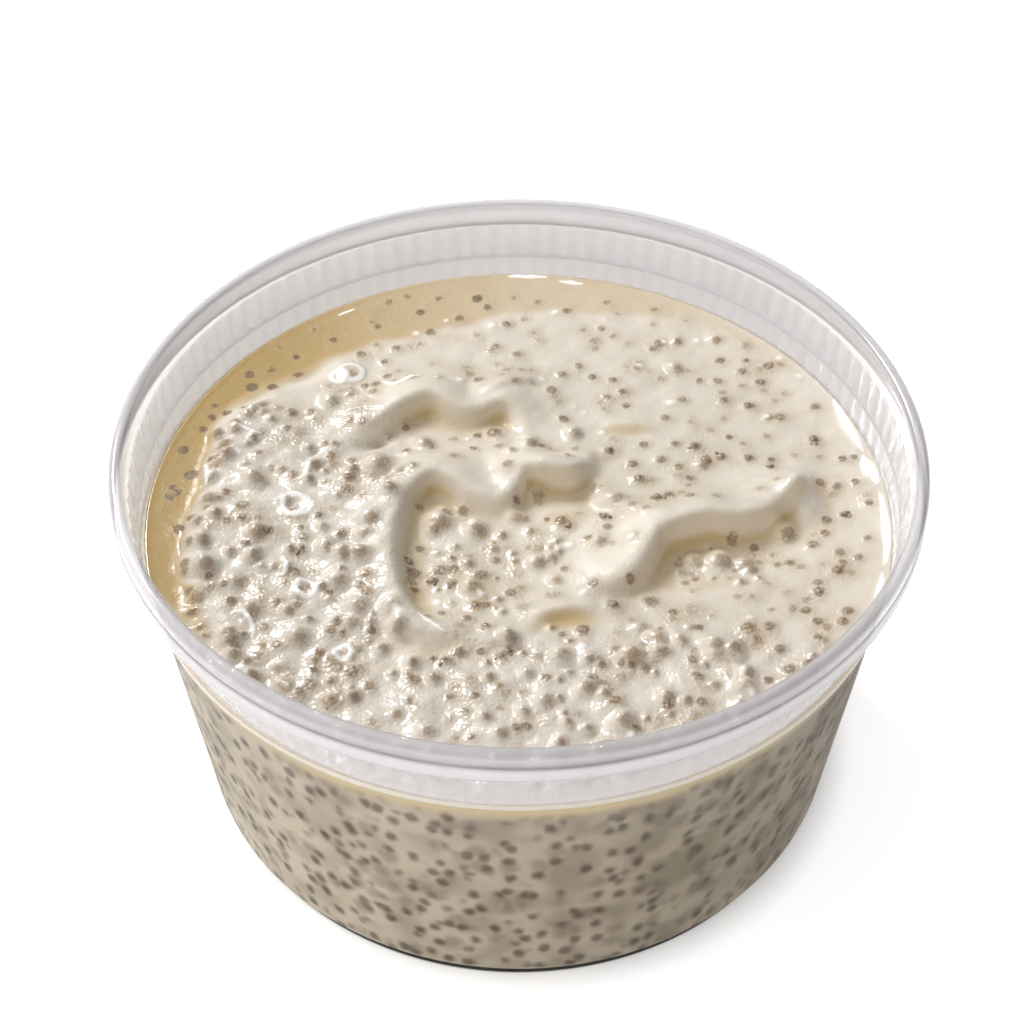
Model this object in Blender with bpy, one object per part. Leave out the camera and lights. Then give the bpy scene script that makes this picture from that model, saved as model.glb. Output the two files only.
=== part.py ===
"""Thiakry, a creamy millet pudding, in its open round plastic tub.

The tub is turned from one profile: a thin tapered wall, a rounded base corner, a ledge, a rolled bead and
the skirt that hangs outside it. The pudding fills the tub to about 14 mm below the rim, a small gap clear
of the plastic. Its top is a height field: a slightly tilted level, the folds and hollows that a spoon
left, and a bumpy mass that stands out of a pool of thinner cream at the left. The largest coated grains
are fused to the top. Sizes are in millimetres, +Z is up, the front is at -Y and the origin is the centre
of the base.
"""

import math
import random
from dataclasses import dataclass

import bmesh
import bpy
import numpy as np
from mathutils import Euler, Vector
from mathutils.geometry import delaunay_2d_cdt

MM = 0.001

# The tub
RIM_HEIGHT = 62.7
RIM_RADIUS = 58.5
BASE_RADIUS = 48.94
TAPER = 0.1304
WALL = 0.8
CORNER_RADIUS = 5.3
CORNER_STEPS = 4
LEDGE_HEIGHT = 53.1
LEDGE_DEPTH = 0.25
BEAD_RADIUS = 1.08
BEAD_STEPS = 6
BEAD_DEPTH = 2.6
SKIRT_DEPTH = 5.3
SKIRT_WALL = 0.8
SKIRT_GROOVE = 0.2
CHANNEL_DEPTH = 2.4
ROUND_STEPS = 72
SCREW_MERGE = 0.05

# The pudding
GAP = 0.3
LEVEL = 48.7
TILT = 0.014
POOL_DROP = 0.2
RELIEF_EDGE = 52.6
RELIEF_FADE = 3.5
SPOT_STEP = 2.5
SPOT_CLEARANCE = 0.6
EDGE_CLEARANCE = 1.6

# The map that the relief is worked out on
MAP_STEP = 0.4
MAP_REACH = 56.0
SOFTNESS = 0.5
SOFT_STEPS = 4
LINE_STEP = 0.8
RUN_BLEND = 1.6

# The grains that are large enough to show as solids
GRAIN_SEED = 14
GRAIN_COUNT = 100
GRAIN_LARGEST = 1.4
GRAIN_SMALLEST = 1.05
GRAIN_SPACING = 3.7
GRAIN_FLATTEN = 0.8
GRAIN_SUNK = 0.35
GRAIN_TRIES = 40000
GRAIN_REACH = 49.5


@dataclass(frozen=True)
class Fold:
    """A fold along a crest of (x, y, lift): a long back on its left, a short front and a foot on its right."""

    crest: tuple
    back: float
    front: float
    foot: float = 0.0
    reach: float = 1.0


@dataclass(frozen=True)
class Hollow:
    """An oval hollow, or a swell where its depth is negative."""

    centre: tuple
    radii: tuple
    depth: float
    turn: float = 0.0


FOLDS = {
    "back fold": Fold(
        ((-24, 16.4, 0), (-22.4, 18, 1.8), (-18.2, 21.7, 2.6), (-13.6, 24, 3), (-10, 22, 2.1),
         (-7, 21.4, 1.7), (-3, 23, 2.3), (-0.5, 22, 1.8), (1.8, 18.4, 0)), 6, 2.4, -1, 4.5),
    "back crease": Fold(((-6, 24.6, 0), (-3, 26.2, 0.8), (0.4, 28.2, 0.9), (3.4, 29, 0)), 3, 0.8, -0.2, 2),
    "scoop rim": Fold(
        ((-11, -23.6, 0), (-14.4, -21.6, 1.1), (-16.6, -18.2, 1.6), (-17.9, -13, 1.9), (-18.4, -7, 2.1),
         (-17.8, -1, 2.2), (-16.4, 3.6, 2.3), (-13.2, 7, 2.5), (-9.9, 6, 2.3), (-6.8, 3.8, 1.6),
         (-3.4, 2.8, 1.2), (-1, 4.4, 1.7), (1, 7.6, 2.6), (4.6, 7.4, 3), (7.6, 7.4, 2.8),
         (9.6, 9.6, 1.8), (10.2, 13, 0)), 4.5, 2.5, -1.3, 5),
    "side fold": Fold(
        ((9, -15.6, 0), (13.3, -14, 1.2), (16.4, -12, 1.8), (18.6, -8.6, 2.5), (20.6, -5, 3),
         (24, -3, 3.1), (28, -1.8, 3), (32.6, -1.8, 2.7), (36, -0.6, 2.4), (39, 2.6, 2.4),
         (41.4, 5.6, 2), (43, 8.6, 0)), 5, 2.8, -1.4, 6),
    "crease": Fold(
        ((9.8, 14, 0), (11.3, 8, 0.8), (11.8, 3, 1), (15, 0.3, 1), (19.4, -2.2, 0.5), (22, -2, 0)), 4, 0.8),
    "front fold": Fold(
        ((-20, -21.4, 0), (-16.6, -23, 0.9), (-12.6, -24, 1.2), (-8.6, -24.8, 1), (-5, -25.6, 0.7),
         (-1.6, -24.6, 0.9), (2, -24.8, 0)), 2.4, 1.6, -0.8, 2.4),
    "pool fold": Fold(
        ((1.6, -22.4, 0), (3.8, -19.8, 0.9), (8, -18.9, 1.1), (12, -19.4, 0.6), (14.6, -21, 0)),
        2.6, 1.5, -1, 2.6),
    "slip": Fold(((12, 20.4, 0), (13.6, 19.6, 0.4), (17, 18.5, 0.4), (21, 16.8, 0)), 2.4, 0.9, -0.6, 2.2),
    "mass edge": Fold(
        ((-22, 36, 0), (-28.2, 35, 0.5), (-34.2, 30.5, 0.8), (-38.6, 27.4, 1), (-43.7, 23.4, 1.1),
         (-46, 18.1, 1.2), (-46.6, 12.5, 1.3), (-47.2, 5.9, 1.3), (-47.8, -0.5, 1.3), (-48.2, -7, 1.2),
         (-47.4, -14.8, 1), (-43.5, -24, 0)), 9, 0.9),
}

HOLLOWS = {
    "scoop": Hollow((-3, -9.5), (12.5, 11), 1.3),
    "side hollow": Hollow((29, -9.5), (11, 5.5), 0.8, 8),
    "fold end": Hollow((-22.6, 15.2), (2.4, 1.4), 1.1, 25),
    "peak": Hollow((42, 3), (2.9, 3.6), -2.3, 14),
    "left swell": Hollow((-32, -8), (15, 24), -0.8),
    "front swell": Hollow((-4, -39), (26, 7), -0.6),
    "ledge": Hollow((-3, 10.5), (11, 3), -0.7, -6),
}

# The largest coated grains, where the photo shows them: (x, y, radius)
LUMPS = (
    (-21.1, 9.6, 1.9), (-22, -2.5, 1.6), (-12, -0.6, 1.7), (-6.4, -2, 1.7), (1.4, 14.9, 1.4), (8.2, 17.2, 1.2),
    (2.4, 5, 1.5), (2.6, -8.8, 1.3), (14, 3.1, 1.4), (29, -8.2, 2), (25.4, -7.8, 1.5), (32.6, -9, 1.4),
    (38.8, -2.5, 1.7), (-14.5, 15.1, 1.4), (-22.7, -19.6, 1.4), (-38.2, -5.4, 1.4), (-39.2, 5.9, 1.5),
    (-29.1, 23.9, 1.3), (19, -24.3, 1.3), (15.4, -28.1, 1.5), (27.3, -26.2, 1.4), (5.8, -28.1, 1.4),
    (-26.3, 30.3, 1.6), (-40.3, -25.6, 1.4), (-46.2, 1.8, 1.4), (-44.9, -12.2, 1.6), (-46.1, -17, 1.6),
    (-25.4, -9.2, 1.5), (-30.8, -25.3, 1.4), (3.4, -36.8, 1.4), (9.1, -34.2, 1.4), (14, -40.3, 1.4),
    (-6.9, -13.9, 1.4), (11.5, -5.3, 1.3),
)


def clear_scene():
    """Removes what the scene starts with."""
    for item in list(bpy.data.objects):
        bpy.data.objects.remove(item, do_unlink=True)


def material(name, colour, roughness, transmission=0.0):
    """A Principled BSDF of one colour."""
    made = bpy.data.materials.new(name)
    made.use_nodes = True
    shader = made.node_tree.nodes["Principled BSDF"]
    shader.inputs["Base Color"].default_value = (*colour, 1.0)
    shader.inputs["Roughness"].default_value = roughness
    shader.inputs["Transmission Weight"].default_value = transmission
    return made


def outer_radius(height):
    """The outer radius of the tapered wall at a height."""
    return BASE_RADIUS + TAPER * height


def rounded_corner(start, corner, end, radius, steps):
    """The points of an arc that rounds the corner between two straight runs."""
    corner = Vector(corner)
    first = (Vector(start) - corner).normalized()
    last = (Vector(end) - corner).normalized()
    half = first.angle(last) / 2
    centre = corner + (first + last).normalized() * radius / math.sin(half)
    reach = radius / math.tan(half)
    begin = corner + first * reach - centre
    finish = corner + last * reach - centre
    sweep = begin.angle_signed(finish)
    points = []
    for step in range(steps + 1):
        angle = -sweep * step / steps
        points.append((
            centre.x + begin.x * math.cos(angle) - begin.y * math.sin(angle),
            centre.y + begin.x * math.sin(angle) + begin.y * math.cos(angle),
        ))
    return points


def base_corner(inset):
    """The tub's rounded base corner, going up, moved inwards by an inset."""
    corner = (outer_radius(inset) - inset, inset)
    top = (outer_radius(RIM_HEIGHT) - inset, RIM_HEIGHT)
    return rounded_corner((0, inset), corner, top, CORNER_RADIUS - inset, CORNER_STEPS)


def tub_profile():
    """The section of the tub, from the floor's centre up inside, over the bead and down outside."""
    bead_centre = (RIM_RADIUS - BEAD_RADIUS, RIM_HEIGHT - BEAD_RADIUS)
    skirt_top = RIM_HEIGHT - BEAD_DEPTH
    skirt_bottom = RIM_HEIGHT - SKIRT_DEPTH
    skirt_inside = RIM_RADIUS - SKIRT_WALL
    channel_top = RIM_HEIGHT - CHANNEL_DEPTH
    thin_wall = WALL - LEDGE_DEPTH
    points = [(0, WALL), *base_corner(WALL)]
    points.append((outer_radius(LEDGE_HEIGHT) - WALL, LEDGE_HEIGHT))
    points.append((outer_radius(LEDGE_HEIGHT) - thin_wall, LEDGE_HEIGHT + LEDGE_DEPTH))
    points.append((outer_radius(channel_top) - WALL, channel_top))
    for step in range(BEAD_STEPS + 1):
        angle = math.pi * (1 - step / BEAD_STEPS)
        points.append((
            bead_centre[0] + BEAD_RADIUS * math.cos(angle),
            bead_centre[1] + BEAD_RADIUS * math.sin(angle),
        ))
    points.append((RIM_RADIUS - SKIRT_GROOVE, skirt_top))
    points.append((RIM_RADIUS, skirt_top - 2 * SKIRT_GROOVE))
    points.append((RIM_RADIUS, skirt_bottom + SKIRT_GROOVE))
    points.append((RIM_RADIUS - SKIRT_GROOVE, skirt_bottom))
    points.append((skirt_inside, skirt_bottom))
    points.append((skirt_inside, channel_top))
    points.append((outer_radius(channel_top), channel_top))
    points.extend(reversed(base_corner(0)))
    points.append((0, 0))
    return points


def make_tub(finish):
    """The tub, turned about Z by a Screw modifier."""
    mesh = bpy.data.meshes.new("tub")
    corners = [(radius * MM, 0, height * MM) for radius, height in tub_profile()]
    mesh.from_pydata(corners, [(i, i + 1) for i in range(len(corners) - 1)], [])
    mesh.materials.append(finish)
    tub = bpy.data.objects.new("tub", mesh)
    bpy.context.scene.collection.objects.link(tub)
    turned = tub.modifiers.new("turned", "SCREW")
    turned.steps = ROUND_STEPS
    turned.render_steps = ROUND_STEPS
    turned.use_merge_vertices = True
    turned.merge_threshold = SCREW_MERGE * MM
    turned.use_smooth_shade = True


def smooth_line(points, step):
    """A smooth curve through the points (Catmull-Rom), read about every step."""
    points = np.array(points, float)
    ends = np.vstack([2 * points[0] - points[1], points, 2 * points[-1] - points[-2]])
    line = []
    for before, start, end, after in zip(ends, ends[1:], ends[2:], ends[3:]):
        count = max(2, round(float(np.linalg.norm((end - start)[:2])) / step))
        t = (np.arange(count) / count)[:, None]
        line.append(0.5 * (
            2 * start + (end - before) * t + (2 * before - 5 * start + 4 * end - after) * t ** 2
            + (3 * start - before - 3 * end + after) * t ** 3))
    return np.vstack([*line, points[-1:]])


def fold_height(fold, spots):
    """How far one fold lifts the cream at each spot. Runs of the crest that lie near each other are blended."""
    line = smooth_line(fold.crest, LINE_STEP)
    room = 2.5 * max(fold.back, fold.front + fold.reach)
    near = ((spots > line[:, :2].min(0) - room) & (spots < line[:, :2].max(0) + room)).all(1)
    distances, sides, lifts = [], [], []
    for start, end in zip(line, line[1:]):
        along = (end - start)[:2]
        offset = spots[near] - start[:2]
        share = np.clip(offset @ along / (along @ along), 0, 1)
        away = offset - share[:, None] * along
        distances.append(np.hypot(away[:, 0], away[:, 1]))
        sides.append((along[0] * away[:, 1] - along[1] * away[:, 0]) / np.linalg.norm(along))
        lifts.append(start[2] + share * (end[2] - start[2]))
    distance = np.min(distances, axis=0)
    weights = np.exp((distance ** 2 - np.square(distances)) / RUN_BLEND ** 2)
    weights /= weights.sum(0)
    side = (weights * sides).sum(0)
    lift = (weights * lifts).sum(0)
    behind = lift * np.exp(-((distance / fold.back) ** 2))
    fall = np.clip(distance / fold.front, 0, 1)
    fall = fall * fall * (3 - 2 * fall)
    past = np.maximum(distance - fold.front, 0) / fold.reach
    ahead = lift * (1 - fall) + fold.foot * np.clip(lift / 2, 0, 1) * fall * np.exp(-(past ** 2))
    height = np.zeros(len(spots))
    height[near] = ahead + (behind - ahead) * np.clip(0.5 + side / (0.3 + 0.5 * distance), 0, 1)
    return height


def hollow_depth(hollow, spots):
    """How far one hollow lowers the cream at each spot."""
    turn = math.radians(hollow.turn)
    offset = spots - np.array(hollow.centre)
    along = (offset[:, 0] * math.cos(turn) + offset[:, 1] * math.sin(turn)) / hollow.radii[0]
    across = (offset[:, 1] * math.cos(turn) - offset[:, 0] * math.sin(turn)) / hollow.radii[1]
    return hollow.depth * np.exp(-((along ** 2 + across ** 2) ** 1.5))


def relief_map():
    """The folds and hollows on a square grid, softened so that they run into each other."""
    axis = np.arange(-MAP_REACH, MAP_REACH + MAP_STEP, MAP_STEP)
    x, y = np.meshgrid(axis, axis)
    spots = np.column_stack([x.ravel(), y.ravel()])
    relief = sum(fold_height(fold, spots) for fold in FOLDS.values())
    relief -= sum(hollow_depth(hollow, spots) for hollow in HOLLOWS.values())
    offsets = np.arange(-SOFT_STEPS, SOFT_STEPS + 1) * MAP_STEP
    kernel = np.exp(-((offsets / SOFTNESS) ** 2) / 2)
    kernel /= kernel.sum()
    grid = relief.reshape(x.shape)
    for side in (0, 1):
        grid = np.apply_along_axis(np.convolve, side, grid, kernel, "same")
    return grid


def top_height(relief, spots):
    """The height of the pudding's top at each spot, read between the four nearest points of the relief."""
    spots = np.asarray(spots, float)
    place = (spots[:, ::-1] + MAP_REACH) / MAP_STEP
    whole = np.floor(place).astype(int)
    row, column = whole.T
    down, right = (place - whole).T
    near = relief[row, column] * (1 - right) + relief[row, column + 1] * right
    far = relief[row + 1, column] * (1 - right) + relief[row + 1, column + 1] * right
    lift = near * (1 - down) + far * down - POOL_DROP
    inside = np.clip((RELIEF_EDGE - np.linalg.norm(spots, axis=1)) / RELIEF_FADE, 0, 1)
    return LEVEL + TILT * spots[:, 1] + lift * inside


def wall_line(angle):
    """Where the pudding's top meets the tub at an angle: a point of the ring round it."""
    inset = WALL + GAP
    side = math.sin(angle)
    height = (LEVEL + TILT * side * (BASE_RADIUS - inset)) / (1 - TILT * side * TAPER)
    radius = outer_radius(height) - inset
    return Vector((radius * math.cos(angle), radius * side, height))


def top_spots(limit):
    """Spots for the top's triangles: the crests and feet of the folds first, then a hexagonal grid."""
    wanted = []
    for fold in FOLDS.values():
        line = smooth_line(fold.crest, SPOT_STEP)[:, :2]
        along = np.gradient(line, axis=0)
        outward = np.column_stack([along[:, 1], -along[:, 0]]) / np.linalg.norm(along, axis=1)[:, None]
        wanted.extend(line)
        wanted.extend(line + outward * fold.front)
    count = math.ceil(limit / SPOT_STEP) + 1
    for row in range(-count, count + 1):
        for column in range(-count, count + 1):
            wanted.append(((column + (row % 2) / 2) * SPOT_STEP, row * SPOT_STEP * math.sqrt(3) / 2))
    spots = np.full((len(wanted), 2), np.inf)
    kept = 0
    for spot in np.array(wanted):
        clear = np.hypot(*(spots[:kept] - spot).T) > SPOT_CLEARANCE * SPOT_STEP
        if np.hypot(*spot) < limit and clear.all():
            spots[kept] = spot
            kept += 1
    return spots[:kept]


def make_bare_pudding(relief, finish):
    """The pudding without its grains: the top's triangles, the side and the rounded bottom."""
    angles = [2 * math.pi * index / ROUND_STEPS for index in range(ROUND_STEPS)]
    ring = [wall_line(angle) for angle in angles]
    spots = top_spots(min(point.xy.length for point in ring) - EDGE_CLEARANCE)
    outline = [point.xy for point in ring]
    edges = [(i, (i + 1) % ROUND_STEPS) for i in range(ROUND_STEPS)]
    flat, _, faces, *_ = delaunay_2d_cdt(outline + [Vector(spot) for spot in spots], edges, [], 1, 1e-4)
    inner = [tuple(point) for point in flat[ROUND_STEPS:]]
    build = bmesh.new()
    top = [build.verts.new(point) for point in ring]
    top += [build.verts.new((*spot, height)) for spot, height in zip(inner, top_height(relief, inner))]
    for face in faces:
        build.faces.new([top[index] for index in face])
    above = top[:ROUND_STEPS]
    for radius, height in reversed(base_corner(WALL + GAP)):
        below = [build.verts.new((radius * math.cos(a), radius * math.sin(a), height)) for a in angles]
        for i in range(ROUND_STEPS):
            j = (i + 1) % ROUND_STEPS
            build.faces.new((above[i], below[i], below[j], above[j]))
        above = below
    build.faces.new(list(reversed(above)))
    bmesh.ops.scale(build, vec=(MM, MM, MM), verts=build.verts)
    bmesh.ops.recalc_face_normals(build, faces=build.faces)
    mesh = bpy.data.meshes.new("pudding")
    build.to_mesh(mesh)
    build.free()
    mesh.materials.append(finish)
    pudding = bpy.data.objects.new("pudding", mesh)
    bpy.context.scene.collection.objects.link(pudding)
    return pudding


def grain_share(x, y):
    """How likely a spot is to carry a grain that stands up: most at the left, in front and in the scoop."""
    if math.hypot(x, y) > 42 and y > 12 and x < 20:
        return 0.0
    left_mass = x < -20 and y < 22
    foreground = y < -24
    scoop = abs(x + 3) < 14 and abs(y + 9) < 12
    return 1.0 if left_mass or foreground or scoop else 0.28


def grain_places():
    """The grains as (x, y, radius): the lumps, then smaller ones by a seeded rule that keeps them apart."""
    draw = random.Random(GRAIN_SEED)
    places = list(LUMPS)
    for _ in range(GRAIN_TRIES):
        reach = GRAIN_REACH * math.sqrt(draw.random())
        angle = draw.uniform(0, 2 * math.pi)
        x, y = reach * math.cos(angle), reach * math.sin(angle)
        if draw.random() > grain_share(x, y):
            continue
        if all(math.hypot(x - a, y - b) > GRAIN_SPACING for a, b, _ in places):
            share = (len(places) - len(LUMPS)) / GRAIN_COUNT
            places.append((x, y, GRAIN_LARGEST + (GRAIN_SMALLEST - GRAIN_LARGEST) * share))
        if len(places) == len(LUMPS) + GRAIN_COUNT:
            break
    return places


def grain_mesh(detail):
    """A ball of radius 1 mm."""
    shape = bmesh.new()
    bmesh.ops.create_icosphere(shape, subdivisions=detail, radius=MM)
    mesh = bpy.data.meshes.new("grain")
    shape.to_mesh(mesh)
    shape.free()
    return mesh


def make_grains(relief):
    """One object for each grain, in a collection of their own. The lumps are rounder than the rest."""
    places = grain_places()
    heights = top_height(relief, [(x, y) for x, y, _ in places])
    lump, small = grain_mesh(2), grain_mesh(1)
    grains = bpy.data.collections.new("grains")
    bpy.context.scene.collection.children.link(grains)
    draw = random.Random(GRAIN_SEED)
    for index, ((x, y, size), height) in enumerate(zip(places, heights)):
        grain = bpy.data.objects.new(f"grain_{index}", lump if index < len(LUMPS) else small)
        grain.location = (x * MM, y * MM, (height - GRAIN_SUNK * size) * MM)
        grain.rotation_euler = Euler([draw.uniform(0, math.pi) for _ in range(3)])
        grain.scale = (size, size * draw.uniform(GRAIN_FLATTEN, 1), size * GRAIN_FLATTEN)
        grains.objects.link(grain)
    return grains


def fuse(body, pieces):
    """Joins a collection of pieces to a body by one Boolean union, and removes the pieces."""
    union = body.modifiers.new("fused grains", "BOOLEAN")
    union.operation = "UNION"
    union.operand_type = "COLLECTION"
    union.collection = pieces
    bpy.context.view_layer.update()
    graph = bpy.context.evaluated_depsgraph_get()
    fused = bpy.data.meshes.new_from_object(body.evaluated_get(graph))
    body.modifiers.clear()
    body.data = fused
    for piece in list(pieces.objects):
        bpy.data.objects.remove(piece, do_unlink=True)
    bpy.data.collections.remove(pieces)


def make_pudding(finish):
    """The pudding with its grains fused on."""
    relief = relief_map()
    pudding = make_bare_pudding(relief, finish)
    fuse(pudding, make_grains(relief))
    pudding.data.shade_smooth()
    pudding.data.set_sharp_from_angle(angle=math.radians(40))


def main():
    """Clears the scene and makes the tub and the pudding."""
    clear_scene()
    make_tub(material("clear plastic", (0.86, 0.85, 0.87), 0.18, 0.7))
    make_pudding(material("millet cream", (0.82, 0.76, 0.66), 0.3))


main()
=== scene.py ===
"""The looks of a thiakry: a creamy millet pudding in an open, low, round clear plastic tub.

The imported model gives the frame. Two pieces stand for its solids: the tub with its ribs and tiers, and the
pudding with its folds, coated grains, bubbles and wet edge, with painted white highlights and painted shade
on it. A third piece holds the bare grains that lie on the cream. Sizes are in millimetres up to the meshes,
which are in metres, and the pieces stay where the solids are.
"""

import logging
import math
import random
from dataclasses import dataclass
from enum import Enum

import bpy
import numpy as np
from mathutils import Matrix, Vector


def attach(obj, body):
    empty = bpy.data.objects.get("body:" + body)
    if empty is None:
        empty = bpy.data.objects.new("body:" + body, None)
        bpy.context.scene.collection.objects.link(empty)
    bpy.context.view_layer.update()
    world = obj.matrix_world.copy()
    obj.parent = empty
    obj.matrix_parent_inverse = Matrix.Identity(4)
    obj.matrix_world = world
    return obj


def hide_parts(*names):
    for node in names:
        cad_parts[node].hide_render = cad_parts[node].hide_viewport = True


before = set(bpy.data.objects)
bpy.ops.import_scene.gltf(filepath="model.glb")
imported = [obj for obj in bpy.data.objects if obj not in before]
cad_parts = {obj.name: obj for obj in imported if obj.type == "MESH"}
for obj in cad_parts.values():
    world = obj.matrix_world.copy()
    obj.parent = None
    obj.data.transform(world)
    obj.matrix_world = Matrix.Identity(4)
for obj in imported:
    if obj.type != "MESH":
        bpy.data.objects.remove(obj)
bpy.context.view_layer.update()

log = logging.getLogger("thiakry")

MM = 0.001
BLACK = (0.0, 0.0, 0.0, 1.0)
WHITE = (1.0, 1.0, 1.0, 1.0)

# The tub's sizes, as in the solids
RIM_HEIGHT = 62.7
RIM_RADIUS = 58.5
BASE_RADIUS = 48.94
TAPER = 0.1304
WALL = 0.8
CORNER_RADIUS = 5.3

# The pudding's top, as in the solids
LEVEL = 48.7
TILT = 0.014
POOL_DROP = 0.2
RELIEF_EDGE = 52.6
RELIEF_FADE = 3.5
MAP_STEP = 0.4
MAP_REACH = 56.0
SOFTNESS = 0.5
SOFT_STEPS = 4
LINE_STEP = 0.8
RUN_BLEND = 1.6

# The pudding's level between its folds, where the marks of the photo lie
MARK_LEVEL = LEVEL + 0.5


@dataclass(frozen=True)
class Fold:
    """A fold along a crest of (x, y, lift).

    Its long back lies on the left of the crest, its short front and its foot on the right.
    """

    crest: tuple
    back: float
    front: float
    foot: float = 0.0
    reach: float = 1.0


@dataclass(frozen=True)
class Hollow:
    """An oval hollow, or a swell where its depth is negative."""

    centre: tuple
    radii: tuple
    depth: float
    turn: float = 0.0


FOLDS = {
    "back fold": Fold(
        ((-24, 16.4, 0), (-22.4, 18, 1.8), (-18.2, 21.7, 2.6), (-13.6, 24, 3), (-10, 22, 2.1),
         (-7, 21.4, 1.7), (-3, 23, 2.3), (-0.5, 22, 1.8), (1.8, 18.4, 0)), 6, 2.4, -1, 4.5),
    "back crease": Fold(((-6, 24.6, 0), (-3, 26.2, 0.8), (0.4, 28.2, 0.9), (3.4, 29, 0)), 3, 0.8, -0.2, 2),
    "scoop rim": Fold(
        ((-11, -23.6, 0), (-14.4, -21.6, 1.1), (-16.6, -18.2, 1.6), (-17.9, -13, 1.9), (-18.4, -7, 2.1),
         (-17.8, -1, 2.2), (-16.4, 3.6, 2.3), (-13.2, 7, 2.5), (-9.9, 6, 2.3), (-6.8, 3.8, 1.6),
         (-3.4, 2.8, 1.2), (-1, 4.4, 1.7), (1, 7.6, 2.6), (4.6, 7.4, 3), (7.6, 7.4, 2.8),
         (9.6, 9.6, 1.8), (10.2, 13, 0)), 4.5, 2.5, -1.3, 5),
    "side fold": Fold(
        ((9, -15.6, 0), (13.3, -14, 1.2), (16.4, -12, 1.8), (18.6, -8.6, 2.5), (20.6, -5, 3),
         (24, -3, 3.1), (28, -1.8, 3), (32.6, -1.8, 2.7), (36, -0.6, 2.4), (39, 2.6, 2.4),
         (41.4, 5.6, 2), (43, 8.6, 0)), 5, 2.8, -1.4, 6),
    "crease": Fold(
        ((9.8, 14, 0), (11.3, 8, 0.8), (11.8, 3, 1), (15, 0.3, 1), (19.4, -2.2, 0.5), (22, -2, 0)), 4, 0.8),
    "front fold": Fold(
        ((-20, -21.4, 0), (-16.6, -23, 0.9), (-12.6, -24, 1.2), (-8.6, -24.8, 1), (-5, -25.6, 0.7),
         (-1.6, -24.6, 0.9), (2, -24.8, 0)), 2.4, 1.6, -0.8, 2.4),
    "pool fold": Fold(
        ((1.6, -22.4, 0), (3.8, -19.8, 0.9), (8, -18.9, 1.1), (12, -19.4, 0.6), (14.6, -21, 0)),
        2.6, 1.5, -1, 2.6),
    "slip": Fold(((12, 20.4, 0), (13.6, 19.6, 0.4), (17, 18.5, 0.4), (21, 16.8, 0)), 2.4, 0.9, -0.6, 2.2),
    "mass edge": Fold(
        ((-22, 36, 0), (-28.2, 35, 0.5), (-34.2, 30.5, 0.8), (-38.6, 27.4, 1), (-43.7, 23.4, 1.1),
         (-46, 18.1, 1.2), (-46.6, 12.5, 1.3), (-47.2, 5.9, 1.3), (-47.8, -0.5, 1.3), (-48.2, -7, 1.2),
         (-47.4, -14.8, 1), (-43.5, -24, 0)), 9, 0.9),
}

HOLLOWS = {
    "scoop": Hollow((-3, -9.5), (12.5, 11), 1.3),
    "side hollow": Hollow((29, -9.5), (11, 5.5), 0.8, 8),
    "fold end": Hollow((-22.6, 15.2), (2.4, 1.4), 1.1, 25),
    "peak": Hollow((42, 3), (2.9, 3.6), -2.3, 14),
    "left swell": Hollow((-32, -8), (15, 24), -0.8),
    "front swell": Hollow((-4, -39), (26, 7), -0.6),
    "ledge": Hollow((-3, 10.5), (11, 3), -0.7, -6),
}

# The largest coated grains of the solids: (x, y, radius)
LUMPS = (
    (-21.1, 9.6, 1.9), (-22, -2.5, 1.6), (-12, -0.6, 1.7), (-6.4, -2, 1.7), (1.4, 14.9, 1.4),
    (8.2, 17.2, 1.2), (2.4, 5, 1.5), (2.6, -8.8, 1.3), (14, 3.1, 1.4), (29, -8.2, 2), (25.4, -7.8, 1.5),
    (32.6, -9, 1.4), (38.8, -2.5, 1.7), (-14.5, 15.1, 1.4), (-22.7, -19.6, 1.4), (-38.2, -5.4, 1.4),
    (-39.2, 5.9, 1.5), (-29.1, 23.9, 1.3), (19, -24.3, 1.3), (15.4, -28.1, 1.5), (27.3, -26.2, 1.4),
    (5.8, -28.1, 1.4), (-26.3, 30.3, 1.6), (-40.3, -25.6, 1.4), (-46.2, 1.8, 1.4), (-44.9, -12.2, 1.6),
    (-46.1, -17, 1.6), (-25.4, -9.2, 1.5), (-30.8, -25.3, 1.4), (3.4, -36.8, 1.4), (9.1, -34.2, 1.4),
    (14, -40.3, 1.4), (-6.9, -13.9, 1.4), (11.5, -5.3, 1.3),
)

# About how many of the photo's pixels a millimetre takes up on the pudding
PIXELS_PER_MM = 6.7


@dataclass(frozen=True)
class Window:
    """An enlarged window of the photo, and the grains read off it.

    Its corner is in the photo's pixels, and a grain is (across, down, radius) in the window's own. Dark
    grains show at the surface, coated ones lie below a coat of cream, and faint ones are soft shadows of
    grains that lie deeper.
    """

    corner: tuple
    enlarged: float
    dark: tuple
    coated: tuple
    faint: tuple

    def marks(self, kind: str) -> list[tuple]:
        """Turns the grains of one kind into marks of the whole photo.

        Args:
            kind: The name of the kind.

        Returns:
            The marks as (across, down, radius in millimetres).
        """
        left, top = self.corner
        marks = []
        for across, down, radius in getattr(self, kind):
            place = round(left + across / self.enlarged), round(top + down / self.enlarged)
            marks.append((*place, round(radius / self.enlarged / PIXELS_PER_MM, 1)))
        return marks


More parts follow.
